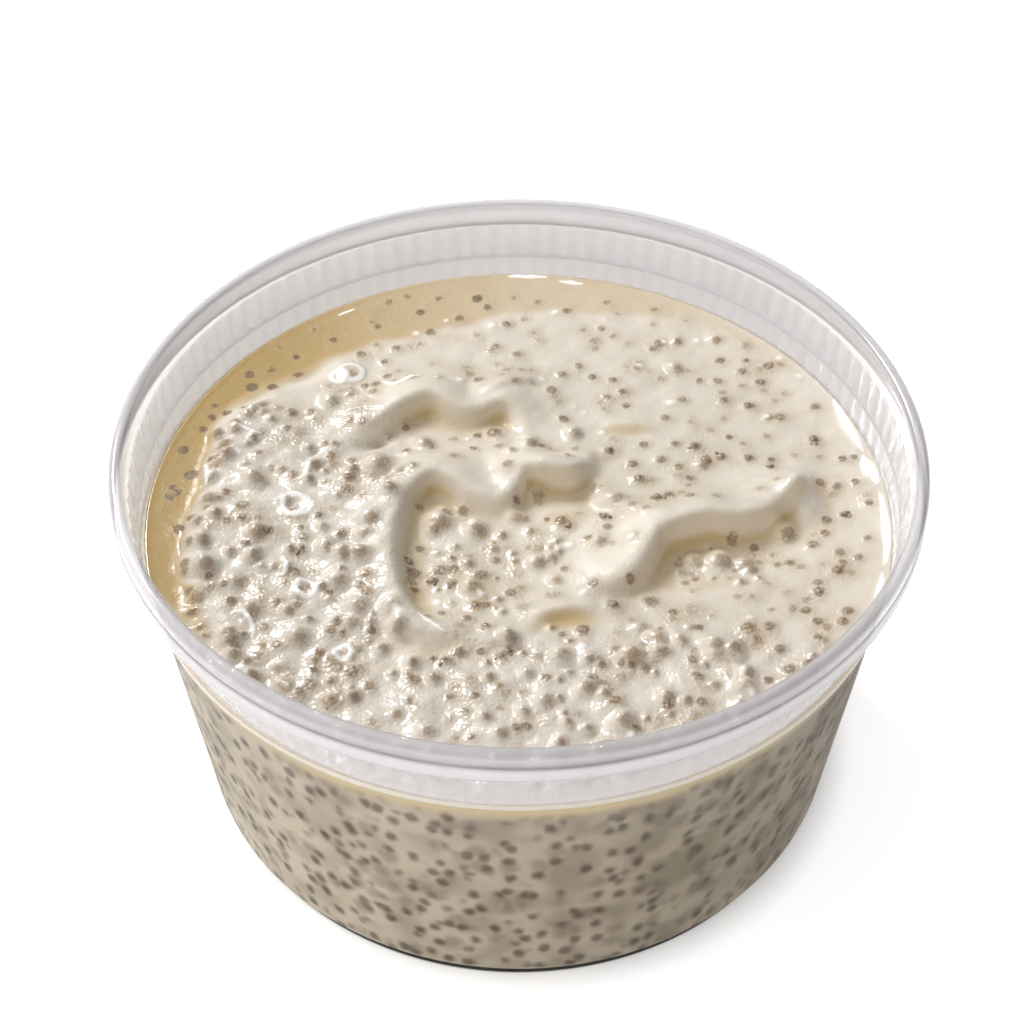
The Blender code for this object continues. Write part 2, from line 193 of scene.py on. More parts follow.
# A grain that shows in two windows is in one of them only
WINDOWS = (
    Window(
        (260, 270), 3.9,
        dark=(
            (45, 455, 20), (140, 335, 12), (150, 405, 16), (285, 270, 14), (395, 328, 18), (485, 358, 14),
            (530, 303, 12), (458, 220, 14), (625, 163, 16), (845, 115, 20), (885, 145, 14), (775, 188, 16),
            (662, 240, 20), (495, 425, 16), (587, 442, 16), (918, 295, 14), (958, 212, 16), (1195, 160, 16),
            (1242, 372, 14), (1295, 415, 14), (1375, 425, 12), (1410, 470, 12), (1355, 490, 12),
            (1135, 470, 18), (1178, 405, 16), (850, 440, 18), (440, 492, 14),
        ),
        coated=(
            (350, 490, 14),
        ),
        faint=(
            (75, 300, 14), (45, 385, 16), (215, 235, 14), (440, 198, 14), (503, 128, 16), (575, 110, 14),
            (700, 112, 12), (675, 375, 16), (915, 372, 16), (1060, 240, 12), (990, 110, 12),
            (1080, 125, 12), (1355, 130, 14), (1395, 172, 14), (1375, 258, 14), (1305, 270, 12),
            (1305, 305, 12), (1060, 395, 14),
        ),
    ),
    Window(
        (560, 440), 3.3,
        dark=(
            (160, 30, 16), (443, 18, 16), (525, 50, 16), (622, 52, 14), (693, 88, 13), (240, 68, 14),
            (262, 118, 16), (425, 118, 11), (190, 170, 26), (145, 238, 20), (355, 180, 16), (425, 195, 13),
            (840, 2, 16), (915, 140, 14), (975, 128, 12), (930, 55, 11), (1020, 198, 12), (880, 245, 16),
            (945, 228, 15), (835, 325, 16), (925, 358, 14), (988, 375, 14), (918, 420, 17), (758, 382, 15),
            (1015, 315, 9), (850, 455, 14), (858, 495, 15), (230, 452, 11), (110, 465, 16), (300, 505, 26),
            (812, 548, 13), (952, 550, 15), (935, 585, 16), (880, 602, 14), (850, 635, 9), (690, 600, 18),
            (725, 672, 16), (435, 708, 13), (455, 762, 15), (755, 742, 17), (690, 775, 13), (470, 850, 17),
            (140, 730, 10), (10, 715, 15),
        ),
        coated=(
            (20, 70, 16), (470, 72, 18), (120, 310, 26), (460, 375, 30), (560, 370, 36), (630, 395, 22),
            (265, 600, 22), (515, 690, 24), (395, 640, 20), (240, 700, 34), (85, 805, 24), (350, 830, 24),
            (610, 800, 24), (215, 925, 22),
        ),
        faint=(
            (515, 198, 18), (285, 242, 13), (865, 395, 12), (800, 398, 12), (685, 452, 18), (570, 300, 18),
            (395, 365, 18), (375, 570, 14), (435, 540, 24), (590, 500, 13), (745, 490, 13), (600, 655, 11),
            (645, 665, 10), (480, 800, 12), (60, 890, 10), (205, 765, 16), (500, 560, 12), (560, 430, 12),
            (640, 500, 12), (700, 545, 12),
        ),
    ),
    Window(
        (380, 370), 3.8,
        dark=(
            (935, 130, 14), (610, 290, 16), (735, 228, 26), (790, 625, 13), (98, 300, 16), (515, 478, 11),
            (635, 535, 8), (150, 640, 16), (275, 680, 13), (440, 685, 19), (195, 755, 22), (270, 778, 18),
            (700, 725, 14), (130, 798, 13), (330, 920, 16), (230, 892, 12), (180, 915, 10), (205, 1075, 10),
            (380, 1048, 13), (725, 1010, 11), (690, 980, 11), (630, 1155, 14),
        ),
        coated=(
            (545, 278, 24), (495, 320, 18), (165, 268, 26), (240, 505, 22), (200, 565, 28), (360, 585, 28),
            (460, 590, 20), (360, 795, 22), (605, 710, 26), (670, 1080, 26), (330, 700, 20),
        ),
        faint=(
            (835, 118, 10), (650, 300, 14), (740, 295, 12), (885, 655, 12), (750, 520, 11), (515, 735, 16),
            (535, 790, 14), (290, 998, 16), (600, 1068, 15), (400, 640, 12), (480, 640, 12), (560, 640, 14),
        ),
    ),
    Window(
        (180, 400), 3.6,
        dark=(
            (405, 52, 18), (200, 92, 12), (120, 215, 20), (285, 200, 12), (660, 98, 14), (578, 485, 14),
            (438, 495, 18), (425, 535, 14), (165, 345, 14), (45, 420, 18), (170, 445, 14), (222, 435, 11),
            (315, 480, 26), (670, 632, 18), (185, 725, 16), (345, 730, 14), (300, 805, 14), (615, 735, 26),
            (175, 835, 30), (345, 875, 14), (540, 820, 16), (500, 900, 15), (240, 930, 14), (480, 960, 12),
            (615, 970, 24), (675, 1018, 18), (535, 1075, 26), (430, 1035, 16),
        ),
        coated=(
            (265, 290, 28), (720, 215, 34), (665, 440, 26), (525, 535, 28), (105, 370, 30), (75, 515, 26),
            (222, 540, 22), (295, 605, 18), (560, 650, 30), (640, 560, 32), (10, 600, 16), (100, 610, 30),
            (45, 700, 28), (385, 755, 20), (755, 750, 26), (415, 835, 24), (765, 970, 14), (830, 930, 18),
            (910, 985, 22), (535, 1000, 18), (885, 1180, 22), (560, 790, 18),
        ),
        faint=(
            (350, 38, 14), (485, 72, 13), (175, 165, 18), (555, 232, 18), (290, 685, 13), (325, 990, 16),
            (840, 1090, 16), (690, 1150, 16), (300, 640, 12), (240, 640, 12), (380, 660, 14),
            (480, 610, 12), (330, 250, 12), (420, 150, 14), (300, 120, 12),
        ),
    ),
    Window(
        (560, 285), 4.0,
        dark=(
            (372, 250, 15), (640, 300, 15), (745, 300, 7), (555, 375, 12), (627, 382, 15), (490, 455, 13),
            (658, 455, 18), (835, 525, 14), (1020, 482, 15), (1175, 685, 12), (460, 630, 13),
            (585, 695, 20),
        ),
        coated=(
            (465, 225, 20), (615, 215, 24), (455, 330, 26),
        ),
        faint=(
            (378, 100, 12), (370, 155, 9), (500, 143, 15), (138, 225, 13), (270, 232, 9), (745, 245, 20),
            (800, 330, 15), (885, 320, 13), (350, 340, 10), (510, 340, 12), (728, 400, 12), (812, 415, 12),
            (525, 545, 14), (605, 572, 15), (828, 595, 14), (900, 430, 12), (1035, 675, 9), (845, 712, 12),
        ),
    ),
    Window(
        (420, 600), 4.4,
        dark=(
            (885, 265, 12), (935, 270, 15), (345, 365, 12), (130, 408, 12), (240, 408, 15), (200, 480, 15),
            (470, 540, 19), (955, 545, 14), (225, 590, 13),
        ),
        coated=(
            (300, 320, 22), (470, 310, 20), (550, 435, 24), (280, 500, 24), (455, 475, 24), (350, 570, 26),
            (610, 610, 24),
        ),
        faint=(
            (520, 235, 14), (990, 215, 12), (1040, 245, 10), (865, 120, 14), (150, 360, 16), (130, 500, 15),
            (555, 510, 15), (350, 460, 15),
        ),
    ),
)


def seen(kind: str) -> tuple:
    """The marks of one kind from all windows."""
    return tuple(mark for window in WINDOWS for mark in window.marks(kind))


# Marks read off the photo, in its pixels: (across, down, radius in millimetres).
# Coated grains along the edge of the thinner cream
BANK_GRAINS = (
    (216, 465, 1.0), (211, 479, 0.8), (198, 503, 1.1), (196, 522, 0.8), (188, 541, 0.8), (183, 562, 0.9),
    (186, 586, 0.9), (222, 447, 0.8), (234, 432, 0.8), (248, 418, 0.8), (262, 407, 0.7), (190, 606, 0.9),
    (198, 622, 0.8),
)

# Grains that lie in the thinner cream
SUNKEN = (
    (279, 348, 0.8), (297, 357, 0.9), (272, 369, 1.0), (249, 374, 1.0), (298, 374, 0.7), (252, 386, 1.1),
    (272, 387, 1.2), (214, 405, 0.6), (227, 412, 0.8), (244, 408, 0.7), (212, 416, 0.8), (203, 428, 0.8),
    (183, 448, 1.1), (191, 472, 1.3), (172, 485, 0.7), (177, 490, 0.9), (169, 495, 0.9), (178, 526, 1.2),
)

# Bare grains that stand out of the cream
BARE = (
    (494, 429, 1.1), (561, 515, 0.9), (568, 520, 0.7), (408, 552, 0.6), (613, 600, 1.0), (350, 478, 0.9),
    (267, 533, 1.1), (192, 594, 1.2), (229, 632, 1.1), (329, 699, 0.9), (486, 623, 0.8), (501, 651, 0.8),
    (508, 646, 0.8), (445, 656, 0.8), (668, 702, 0.7), (574, 430, 0.9), (609, 449, 0.8), (695, 445, 0.8),
    (721, 455, 0.8), (706, 459, 0.9), (749, 456, 0.6), (814, 438, 0.9), (749, 405, 0.8), (639, 476, 0.7),
    (846, 509, 0.8), (838, 567, 0.9), (770, 467, 0.6), (668, 495, 0.7), (657, 499, 0.9), (819, 588, 0.8),
    (475, 598, 0.9), (432, 570, 0.9), (451, 574, 0.8), (604, 513, 0.8), (246, 547, 0.9), (301, 550, 0.8),
)

# Painted white highlights, each on a small raise of the cream: spots as (across, down, radius), and strokes,
# some along the wet edge at the wall, as a half width and a run of (across, down)
HIGHLIGHT_SPOTS = (
    (779, 358, 0.8), (799, 376, 0.9), (582, 642, 0.9), (697, 340, 0.7), (664, 342, 0.7), (640, 365, 0.8),
    (671, 401, 0.8), (767, 415, 0.7), (416, 333, 0.8), (446, 320, 0.6), (492, 325, 0.7), (555, 312, 0.7),
    (542, 380, 0.7), (460, 384, 0.8), (437, 385, 0.6), (750, 613, 0.7), (631, 731, 0.8), (680, 711, 0.5),
    (733, 700, 0.8), (752, 690, 0.8), (742, 670, 0.8), (583, 588, 0.8), (326, 494, 0.7), (398, 615, 1.1),
    (287, 685, 0.6), (238, 455, 0.9), (209, 478, 0.8), (280, 661, 0.8), (349, 715, 0.7), (502, 603, 0.5),
    (523, 612, 0.5), (437, 592, 0.8), (472, 516, 0.9), (467, 434, 0.6), (475, 444, 0.4),
    (575, 405, 0.4), (584, 411, 0.5), (602, 430, 0.6), (630, 541, 0.8), (569, 538, 0.8), (480, 585, 0.8),
)
HIGHLIGHT_STROKES = (
    (0.4, (300, 461), (307, 466), (306, 475), (297, 482)),
    (0.4, (282, 556), (287, 565), (284, 575), (277, 576)),
    (0.4, (233, 611), (245, 614), (252, 623), (251, 636)),
    (0.4, (204, 463), (207, 472), (206, 484)),
    (0.35, (275, 508), (283, 498), (296, 495), (305, 503), (300, 513), (285, 518)),
    (0.45, (380, 384), (395, 390), (410, 384), (425, 381)),
    (0.4, (417, 612), (428, 622), (445, 632)),
    (0.35, (232, 428), (247, 432), (262, 436)),
    (0.9, (834, 400), (843, 418), (854, 436), (863, 450)),
    (1.1, (863, 455), (870, 467), (877, 482)),
    (0.75, (880, 490), (885, 515), (887, 545), (885, 562)),
    (0.6, (883, 570), (880, 586), (874, 600)),
    (0.5, (506, 279), (520, 278), (546, 279)),
    (0.5, (559, 283), (572, 284), (584, 286)),
    (0.35, (338, 316), (346, 313), (356, 310)),
)

# Tan patches, partly thin cream and partly painted shade under the folds: (across, down, half length, half
# width in millimetres, strength)
TAN_PATCHES = (
    (566, 615, 4.2, 1.7, 1.0), (540, 622, 2.4, 1.6, 0.5), (430, 645, 5.5, 1.3, 0.8),
    (470, 650, 4.0, 1.0, 0.6), (628, 428, 3.8, 1.1, 0.85), (561, 512, 3.0, 1.6, 0.6),
    (485, 580, 2.4, 1.6, 0.55), (654, 499, 2.4, 1.2, 0.6), (383, 661, 2.6, 1.2, 0.55),
    (331, 440, 1.5, 1.1, 0.5), (289, 458, 1.8, 1.0, 0.6), (380, 556, 2.2, 1.4, 0.5),
    (700, 575, 5.0, 1.4, 0.45), (455, 338, 3.4, 1.4, 0.35), (410, 585, 1.5, 2.4, 0.35),
    (600, 455, 2.0, 1.0, 0.3),
)


@dataclass(frozen=True)
class Cover:
    """How a kind of grain shows: its size, its rise, how far its bare part slips towards the front right,
    away from the light, which is partly painted shade and partly where the coat runs thin, its core and its
    haze.
    """

    grown: float
    more: float
    rise: float
    slip: float
    core: float
    haze: float
    spread: float = 1.3


COVERS = {
    "lumps": Cover(1.0, 0.1, 0.85, 0.65, 0.72, 0.5, 1.1),
    "coated": Cover(1.1, 0.15, 0.8, 0.55, 0.75, 0.45, 1.15),
    "dark": Cover(1.2, 0.32, 0.3, 0.15, 1.1, 0.6, 1.6),
    "faint": Cover(1.15, 0.4, 0.12, 0.0, 0.62, 0.6, 1.5),
    "bare": Cover(1.2, 0.25, 0.35, 0.1, 1.1, 0.7, 1.6),
    "sunken": Cover(1.05, 0.1, 0.0, 0.0, 1.2, 0.3, 1.5),
}

# Places without a wet shine: (across, down, radius in millimetres)
DULL = (
    (500, 462, 5.0), (606, 540, 6.5), (630, 520, 4.5), (470, 440, 4.0), (560, 560, 4.0), (395, 390, 4.0),
)

# Open bubbles in the cream: (x, y, radius)
BUBBLES = (
    (-26.3, 30.3, 1.9), (-28, 29.3, 1.2), (-30.3, -16.1, 1.4), (-24.3, -27.9, 1.2), (-32.6, 0.6, 2.1),
)

# The inner edge of the thinner cream, from the left front round the back: (x, y, strength)
POOL_EDGE = (
    (-41, -30, 0), (-44.5, -22, 0.8), (-48, -14.8, 1), (-48.8, -7, 1), (-48.4, -0.5, 1), (-47.8, 5.9, 1),
    (-47.2, 12.5, 1), (-46.4, 18.1, 1), (-43.9, 23.4, 1), (-38.6, 27.6, 1), (-34.2, 30.9, 1),
    (-28.2, 35.2, 0.95), (-20, 39, 0.8), (-10, 43, 0.65), (0, 45.6, 0.5), (20, 45.6, 0.4), (36, 38, 0.2),
    (44, 30, 0),
)

# The waviness of that edge: (size in millimetres, waves round the tub, phase)
POOL_WAVES = ((0.5, 11, 0), (0.35, 29, 1))
POOL_FADE = (-1.9, 0.7)


def paint(red: float, green: float, blue: float) -> tuple[float, float, float, float]:
    """Turns a colour as a screen shows it into the linear colour that a shader takes.

    Args:
        red, green, blue: The screen values, from 0 to 255.

    Returns:
        The linear colour with full alpha.
    """
    values = []
    for value in (red, green, blue):
        share = value / 255
        values.append(share / 12.92 if share <= 0.04045 else ((share + 0.055) / 1.055) ** 2.4)
    return (*values, 1.0)


def ease(values: np.ndarray, low: float, high: float) -> np.ndarray:
    """Rises smoothly from 0 at low to 1 at high.

    Args:
        values: The numbers to turn into shares.
        low: Where the rise starts.
        high: Where it ends.

    Returns:
        The shares, from 0 to 1.
    """
    share = np.clip((values - low) / (high - low), 0, 1)
    return share * share * (3 - 2 * share)


class Wire:
    """A socket that carries a value in a node tree, with the operators of ordinary arithmetic."""

    def __init__(self, sheet: "Sheet", socket: bpy.types.NodeSocket) -> None:
        """Keeps the tree and the socket."""
        self.sheet = sheet
        self.socket = socket

    def maths(self, operation: str, *terms: "Wire | float") -> "Wire":
        """Adds a Math node.

        Args:
            operation: The node's operation.
            terms: Its inputs, in order.

        Returns:
            The node's result.
        """
        return self.sheet.node("ShaderNodeMath", {"operation": operation}, dict(enumerate(terms)))

    def __add__(self, other: "Wire | float") -> "Wire":
        """The sum."""
        return self.maths("ADD", self, other)

    def __sub__(self, other: "Wire | float") -> "Wire":
        """The difference."""
        return self.maths("SUBTRACT", self, other)

    def __rsub__(self, other: float) -> "Wire":
        """The difference, from a number."""
        return self.maths("SUBTRACT", other, self)

    def __mul__(self, other: "Wire | float") -> "Wire":
        """The product."""
        return self.maths("MULTIPLY", self, other)

    def __truediv__(self, other: "Wire | float") -> "Wire":
        """The quotient."""
        return self.maths("DIVIDE", self, other)

    def __rtruediv__(self, other: float) -> "Wire":
        """The quotient, from a number."""
        return self.maths("DIVIDE", other, self)

    __radd__ = __add__
    __rmul__ = __mul__

    def step(self, low: float, high: float) -> "Wire":
        """Rises smoothly from 0 to 1, or falls where low is above high.

        Args:
            low: The value that gives 0.
            high: The value that gives 1.

        Returns:
            The share.
        """
        return self.sheet.node(
            "ShaderNodeMapRange",
            {"interpolation_type": "SMOOTHSTEP", "clamp": True},
            {"Value": self, "From Min": low, "From Max": high, "To Min": 0.0, "To Max": 1.0},
        )


class Sheet:
    """A node tree, and the one way in which nodes are added to it."""

    def __init__(self, tree: bpy.types.NodeTree) -> None:
        """Keeps the tree."""
        self.tree = tree

    @staticmethod
    def find(sockets: bpy.types.bpy_prop_collection, key: str | int) -> bpy.types.NodeSocket:
        """Finds a socket by place, identifier or name.

        Args:
            sockets: The sockets of one side of a node.
            key: The place, identifier or name.

        Returns:
            The socket.
        """
        if isinstance(key, int):
            return sockets[key]
        for socket in sockets:
            if socket.identifier == key:
                return socket
        return sockets[key]

    def node(
        self,
        kind: str,
        settings: dict | None = None,
        inputs: dict | None = None,
        output: str | int = 0,
    ) -> Wire:
        """Adds a node.

        Args:
            kind: The node's type.
            settings: Its properties, which are set first.
            inputs: The value or wire of each input, by place, identifier or name.
            output: Which output is wanted.

        Returns:
            That output.
        """
        made = self.tree.nodes.new(kind)
        for name, value in (settings or {}).items():
            setattr(made, name, value)
        for key, value in (inputs or {}).items():
            socket = self.find(made.inputs, key)
            if isinstance(value, Wire):
                self.tree.links.new(value.socket, socket)
            else:
                socket.default_value = value
        return Wire(self, self.find(made.outputs, output)) if made.outputs else Wire(self, made.inputs[0])

    def blend(self, share: Wire | float, first: Wire | tuple, second: Wire | tuple) -> Wire:
        """Mixes two colours.

        Args:
            share: How much of the second colour.
            first: The first colour.
            second: The second colour.

        Returns:
            The mixed colour.
        """
        return self.node(
            "ShaderNodeMix",
            {"data_type": "RGBA", "clamp_factor": True},
            {"Factor_Float": share, "A_Color": first, "B_Color": second},
            "Result_Color",
        )

    def place(self) -> Wire:
        """The point of the piece that is shaded, in its own coordinates."""
        return self.node("ShaderNodeTexCoord", output="Object")

    def stretched(self, sizes: tuple[float, float, float]) -> Wire:
        """The point of the piece with each axis scaled.

        Args:
            sizes: The scale of each axis.

        Returns:
            The scaled point.
        """
        return self.node("ShaderNodeMapping", None, {"Vector": self.place(), "Scale": sizes})

    def noise(self, grain: float, detail: float) -> Wire:
        """A soft random pattern, about 0.5 on average.

        Args:
            grain: The size of its features, in millimetres.
            detail: How many finer layers it has.

        Returns:
            The pattern.
        """
        sockets = {"Vector": self.place(), "Scale": 1 / (grain * MM), "Detail": detail, "Roughness": 0.55}
        return self.node("ShaderNodeTexNoise", {"noise_dimensions": "3D"}, sockets, "Fac")

    def attribute(self, name: str) -> Wire:
        """A number that is stored at the points of the mesh."""
        return self.node("ShaderNodeAttribute", {"attribute_name": name}, output="Fac")

    def along(self, axis: str) -> Wire:
        """Where the point of the piece lies along one axis, in millimetres."""
        return self.node("ShaderNodeSeparateXYZ", None, {"Vector": self.place()}, axis) / MM

    def distance(self, centre: tuple[float, float, float] = (0.0, 0.0, 0.0)) -> Wire:
        """How far the point of the piece lies from a centre.

        Args:
            centre: The centre, in millimetres.

        Returns:
            The distance, in millimetres.
        """
        ends = {0: self.place(), 1: tuple(value * MM for value in centre)}
        return self.node("ShaderNodeVectorMath", {"operation": "DISTANCE"}, ends, "Value") / MM

    def bump(self, height: Wire, strength: float, depth: float) -> Wire:
        """Turns a height into a normal.

        Args:
            height: The height pattern.
            strength: How much of it shows.
            depth: The depth of the pattern, in millimetres.

        Returns:
            The normal.
        """
        sockets = {"Height": height, "Strength": strength, "Distance": depth * MM}
        return self.node("ShaderNodeBump", None, sockets, "Normal")

    def stored(self, name: str, kind: str = "FLOAT") -> Wire:
        """A number or a vector that a geometry tree reads from the points.

        Args:
            name: The attribute's name.
            kind: Its type.

        Returns:
            Its value.
        """
        return self.node("GeometryNodeInputNamedAttribute", {"data_type": kind}, {"Name": name}, "Attribute")

    def moved(self, shape: Wire, way: Wire, reach: Wire) -> Wire:
        """Moves the points of a geometry.

        Args:
            shape: The geometry.
            way: The direction of each point, of length 1.
            reach: How far each point moves.

        Returns:
            The geometry with its points moved.
        """
        offset = self.node("ShaderNodeVectorMath", {"operation": "SCALE"}, {0: way, "Scale": reach})
        return self.node("GeometryNodeSetPosition", None, {"Geometry": shape, "Offset": offset})

    def end(self, shape: Wire, finish: bpy.types.Material) -> None:
        """Ends a geometry tree: makes its instances real and sets the material.

        Args:
            shape: The geometry.
            finish: The material.
        """
        real = self.node("GeometryNodeRealizeInstances", None, {"Geometry": shape})
        dressed = self.node("GeometryNodeSetMaterial", None, {"Geometry": real, "Material": finish})
        self.node("NodeGroupOutput", None, {0: dressed})


def new_material(name: str, sockets: dict) -> tuple[bpy.types.Material, Sheet, bpy.types.Node]:
    """Makes a material with one Principled BSDF.

    Args:
        name: The material's name.
        sockets: The shader's constant inputs.

    Returns:
        The material, its sheet and its shader node.
    """
    material = bpy.data.materials.new(name)
    material.use_nodes = True
    shader = material.node_tree.nodes["Principled BSDF"]
    for key, value in sockets.items():
        shader.inputs[key].default_value = value
    return material, Sheet(material.node_tree), shader


def connect(sheet: Sheet, shader: bpy.types.Node, wires: dict[str, Wire]) -> None:
    """Links wires to the inputs of a shader.

    Args:
        sheet: The tree that they are in.
        shader: The shader node.
        wires: The wire of each input, by name.
    """
    for key, wire in wires.items():
        sheet.tree.links.new(wire.socket, shader.inputs[key])


@dataclass(frozen=True)
class PlasticFinish:
    """Clear plastic with a faint milky veil, denser where the wall is rolled or doubled, with painted dark
    lines of shade and refraction on the bead, the groove, the skirt's edge, the ledge and the ribs.
    """

    tint: tuple = paint(211, 206, 209)
    # The colour of the painted dark lines of shade and refraction
    dark: tuple = paint(96, 88, 87)
    roughness: float = 0.12

    def build(self) -> bpy.types.Material:
        """Makes the material."""
        material, sheet, shader = new_material("clear plastic", {
            "IOR": 1.5,
            "Specular IOR Level": 0.9,
            "Coat Weight": 0.6,
            "Coat Roughness": 0.04,
        })
        cloud = sheet.noise(8, 1)
        # Painted shade and refraction lines: the stored line darkens the tint
        colour = sheet.blend(sheet.attribute("line") * (0.64 + 0.24 * cloud), self.tint, self.dark)
        connect(sheet, shader, {
            "Base Color": colour,
            "Roughness": self.roughness + 0.08 * cloud,
            "Alpha": sheet.attribute("veil"),
        })
        return material


@dataclass(frozen=True)
class CreamFinish:
    """Wet millet cream: pale, tan where it is thin, with painted shade in tan in its hollows and on the
    fronts of its folds, grey where a grain lies just below it, and painted white highlights that glow a
    little.
    """

    cream: tuple = paint(232, 223, 208)
    shade: tuple = paint(220, 209, 191)
    # The tan of thin cream, also used for the painted shade in hollows and on the fronts of the folds
    tan: tuple = paint(192, 163, 106)
    haze: tuple = paint(196, 177, 150)
    cool: tuple = paint(230, 223, 213)
    # The white of the painted highlights
    painted_highlight: tuple = paint(253, 251, 246)
    grain: tuple = paint(176, 151, 120)
    grain_dark: tuple = paint(104, 79, 53)
    softness: float = 0.1
    # How strongly the painted highlights glow
    highlight_glow: float = 0.14
    speck_share: float = 0.8
    bump_strength: float = 0.45
    bump_depth: float = 0.5

    def build(self) -> bpy.types.Material:
        """Makes the material."""
        material, sheet, shader = new_material("millet cream", {
            "Subsurface Weight": self.softness,
            "Subsurface Radius": (1.0, 0.75, 0.5),
            "Subsurface Scale": 0.0024,
            "IOR": 1.4,
            "Coat Roughness": 0.07,
            "Emission Strength": self.highlight_glow,
        })
        cloud = sheet.noise(6, 1)
        curd = sheet.noise(1.3, 1)
        crumb = sheet.noise(0.5, 0)
        shown = sheet.attribute("grain")
        speck = (shown + (crumb - 0.5) * 0.8 + (curd - 0.5) * 0.5).step(0.2, 0.9)
        tan, mass, dull = (sheet.attribute(name) for name in ("tan", "mass", "dull"))
        pale = sheet.blend(cloud.step(0.4, 0.75) * 0.5 + curd.step(0.5, 0.8) * 0.2, self.cream, self.shade)
        cool = sheet.blend(mass * 0.5, sheet.blend(tan, pale, self.tan), self.cool)
        haze = sheet.attribute("haze") * (0.85 + 0.3 * curd) * (1 - 0.6 * tan)
        near = sheet.blend(haze * 0.85, cool, self.haze)
        # Painted highlight: white and glowing a little, on bubble rims, spots and strokes
        painted_highlight = sheet.attribute("painted_highlight").step(0.2, 0.95)
        light = (crumb * 0.6 + curd * 0.4).step(0.42, 0.6) * (1 - 0.9 * tan)
        hull = sheet.blend(light, self.grain_dark, self.grain)
        border = tan * (1 - tan)
        curds = curd * (0.3 + 0.35 * mass)
        crumbs = crumb * (0.12 + 0.7 * haze + 0.2 * mass)
        connect(sheet, shader, {
            "Base Color": sheet.blend(painted_highlight, sheet.blend(speck * self.speck_share, near, hull), self.painted_highlight),
            "Roughness": 0.3 + 0.15 * speck + 1.2 * border + 0.35 * dull,
            "Coat Weight": 0.7 * (1 - 3.4 * border) * (1 - dull),
            "Normal": sheet.bump(curds + crumbs, self.bump_strength, self.bump_depth),
            "Emission Color": sheet.blend(painted_highlight, BLACK, WHITE),
        })
        return material


@dataclass(frozen=True)
class SideFinish:
    """The cream behind the clear wall: hazy, with grains that lie against the plastic, and painted shade that
    darkens it towards +X, away from the light.
    """

    pale: tuple = paint(177, 165, 144)
    # The darker cream, used for a random cloud and for the painted shade towards +X
    deep: tuple = paint(112, 100, 79)
    speck: tuple = paint(76, 58, 39)
    strip: tuple = paint(186, 168, 130)
    strip_start: tuple = (44.6, 47.4)
    # Painted shade: where along X the side darkens towards +X
    painted_shade_along_x: tuple = (-40, 48)

    def grains(self, sheet: Sheet, spacing: float, wobble: Wire, low: float, high: float) -> Wire:
        """Scatters soft grains.

        Args:
            sheet: The material's sheet.
            spacing: About how far apart they lie, in millimetres.
            wobble: What makes their outlines uneven.
            low: The distance from a grain's middle at which it is gone.
            high: The distance at which it is full.

        Returns:
            The share of grain.
        """
        cells = sheet.node(
            "ShaderNodeTexVoronoi",
            {"voronoi_dimensions": "3D", "feature": "F1"},
            {"Vector": sheet.stretched((1, 1, 0.78)), "Scale": 1 / (spacing * MM), "Randomness": 0.95},
            "Distance",
        )
        return (cells + wobble * 0.32).step(low, high)

    def build(self) -> bpy.types.Material:
        """Makes the material."""
        material, sheet, shader = new_material("cream behind plastic", {
            "IOR": 1.4, "Specular IOR Level": 0.15, "Coat Roughness": 0.12})
        wobble = sheet.noise(1.6, 1)
        cloud = sheet.noise(7, 1)
        near = self.grains(sheet, 2.7, wobble, 0.67, 0.3) * (0.6 + 0.55 * cloud)
        far = self.grains(sheet, 3.9, wobble, 0.7, 0.3) * 0.45
        # A random darker cloud, and painted shade that darkens the side towards +X, away from the light
        tone_and_painted_shade = cloud.step(0.35, 0.7) * 0.4 + sheet.along("X").step(*self.painted_shade_along_x) * 0.65
        hazy = sheet.blend(far, sheet.blend(tone_and_painted_shade, self.pale, self.deep), self.speck)
        spotted = sheet.blend(near, hazy, self.speck)
        strip = (sheet.along("Z") + cloud * 1.8).step(*self.strip_start)
        connect(sheet, shader, {
            "Base Color": sheet.blend(strip, spotted, self.strip),
            "Roughness": 0.45 + 0.2 * cloud,
            "Coat Weight": 0.06 * cloud,
        })
        return material


@dataclass(frozen=True)
class GrainFinish:
    """Bare millet, grey-brown and crumbly, with a wet shine."""

    light: tuple = paint(190, 170, 148)
    dark: tuple = paint(116, 94, 72)

    def build(self) -> bpy.types.Material:
        """Makes the material."""
        material, sheet, shader = new_material("millet hull", {"IOR": 1.42, "Coat Roughness": 0.1})
        patch = sheet.noise(0.9, 3)
        fine = sheet.noise(0.25, 3)
        colour = sheet.blend((patch * 0.7 + fine * 0.3).step(0.35, 0.66), self.dark, self.light)
        connect(sheet, shader, {
            "Base Color": colour,
            "Roughness": 0.3 + 0.3 * fine,
            "Coat Weight": 0.3 + 0.3 * patch,
            "Normal": sheet.bump(fine, 0.5, 0.2),
        })
        return material


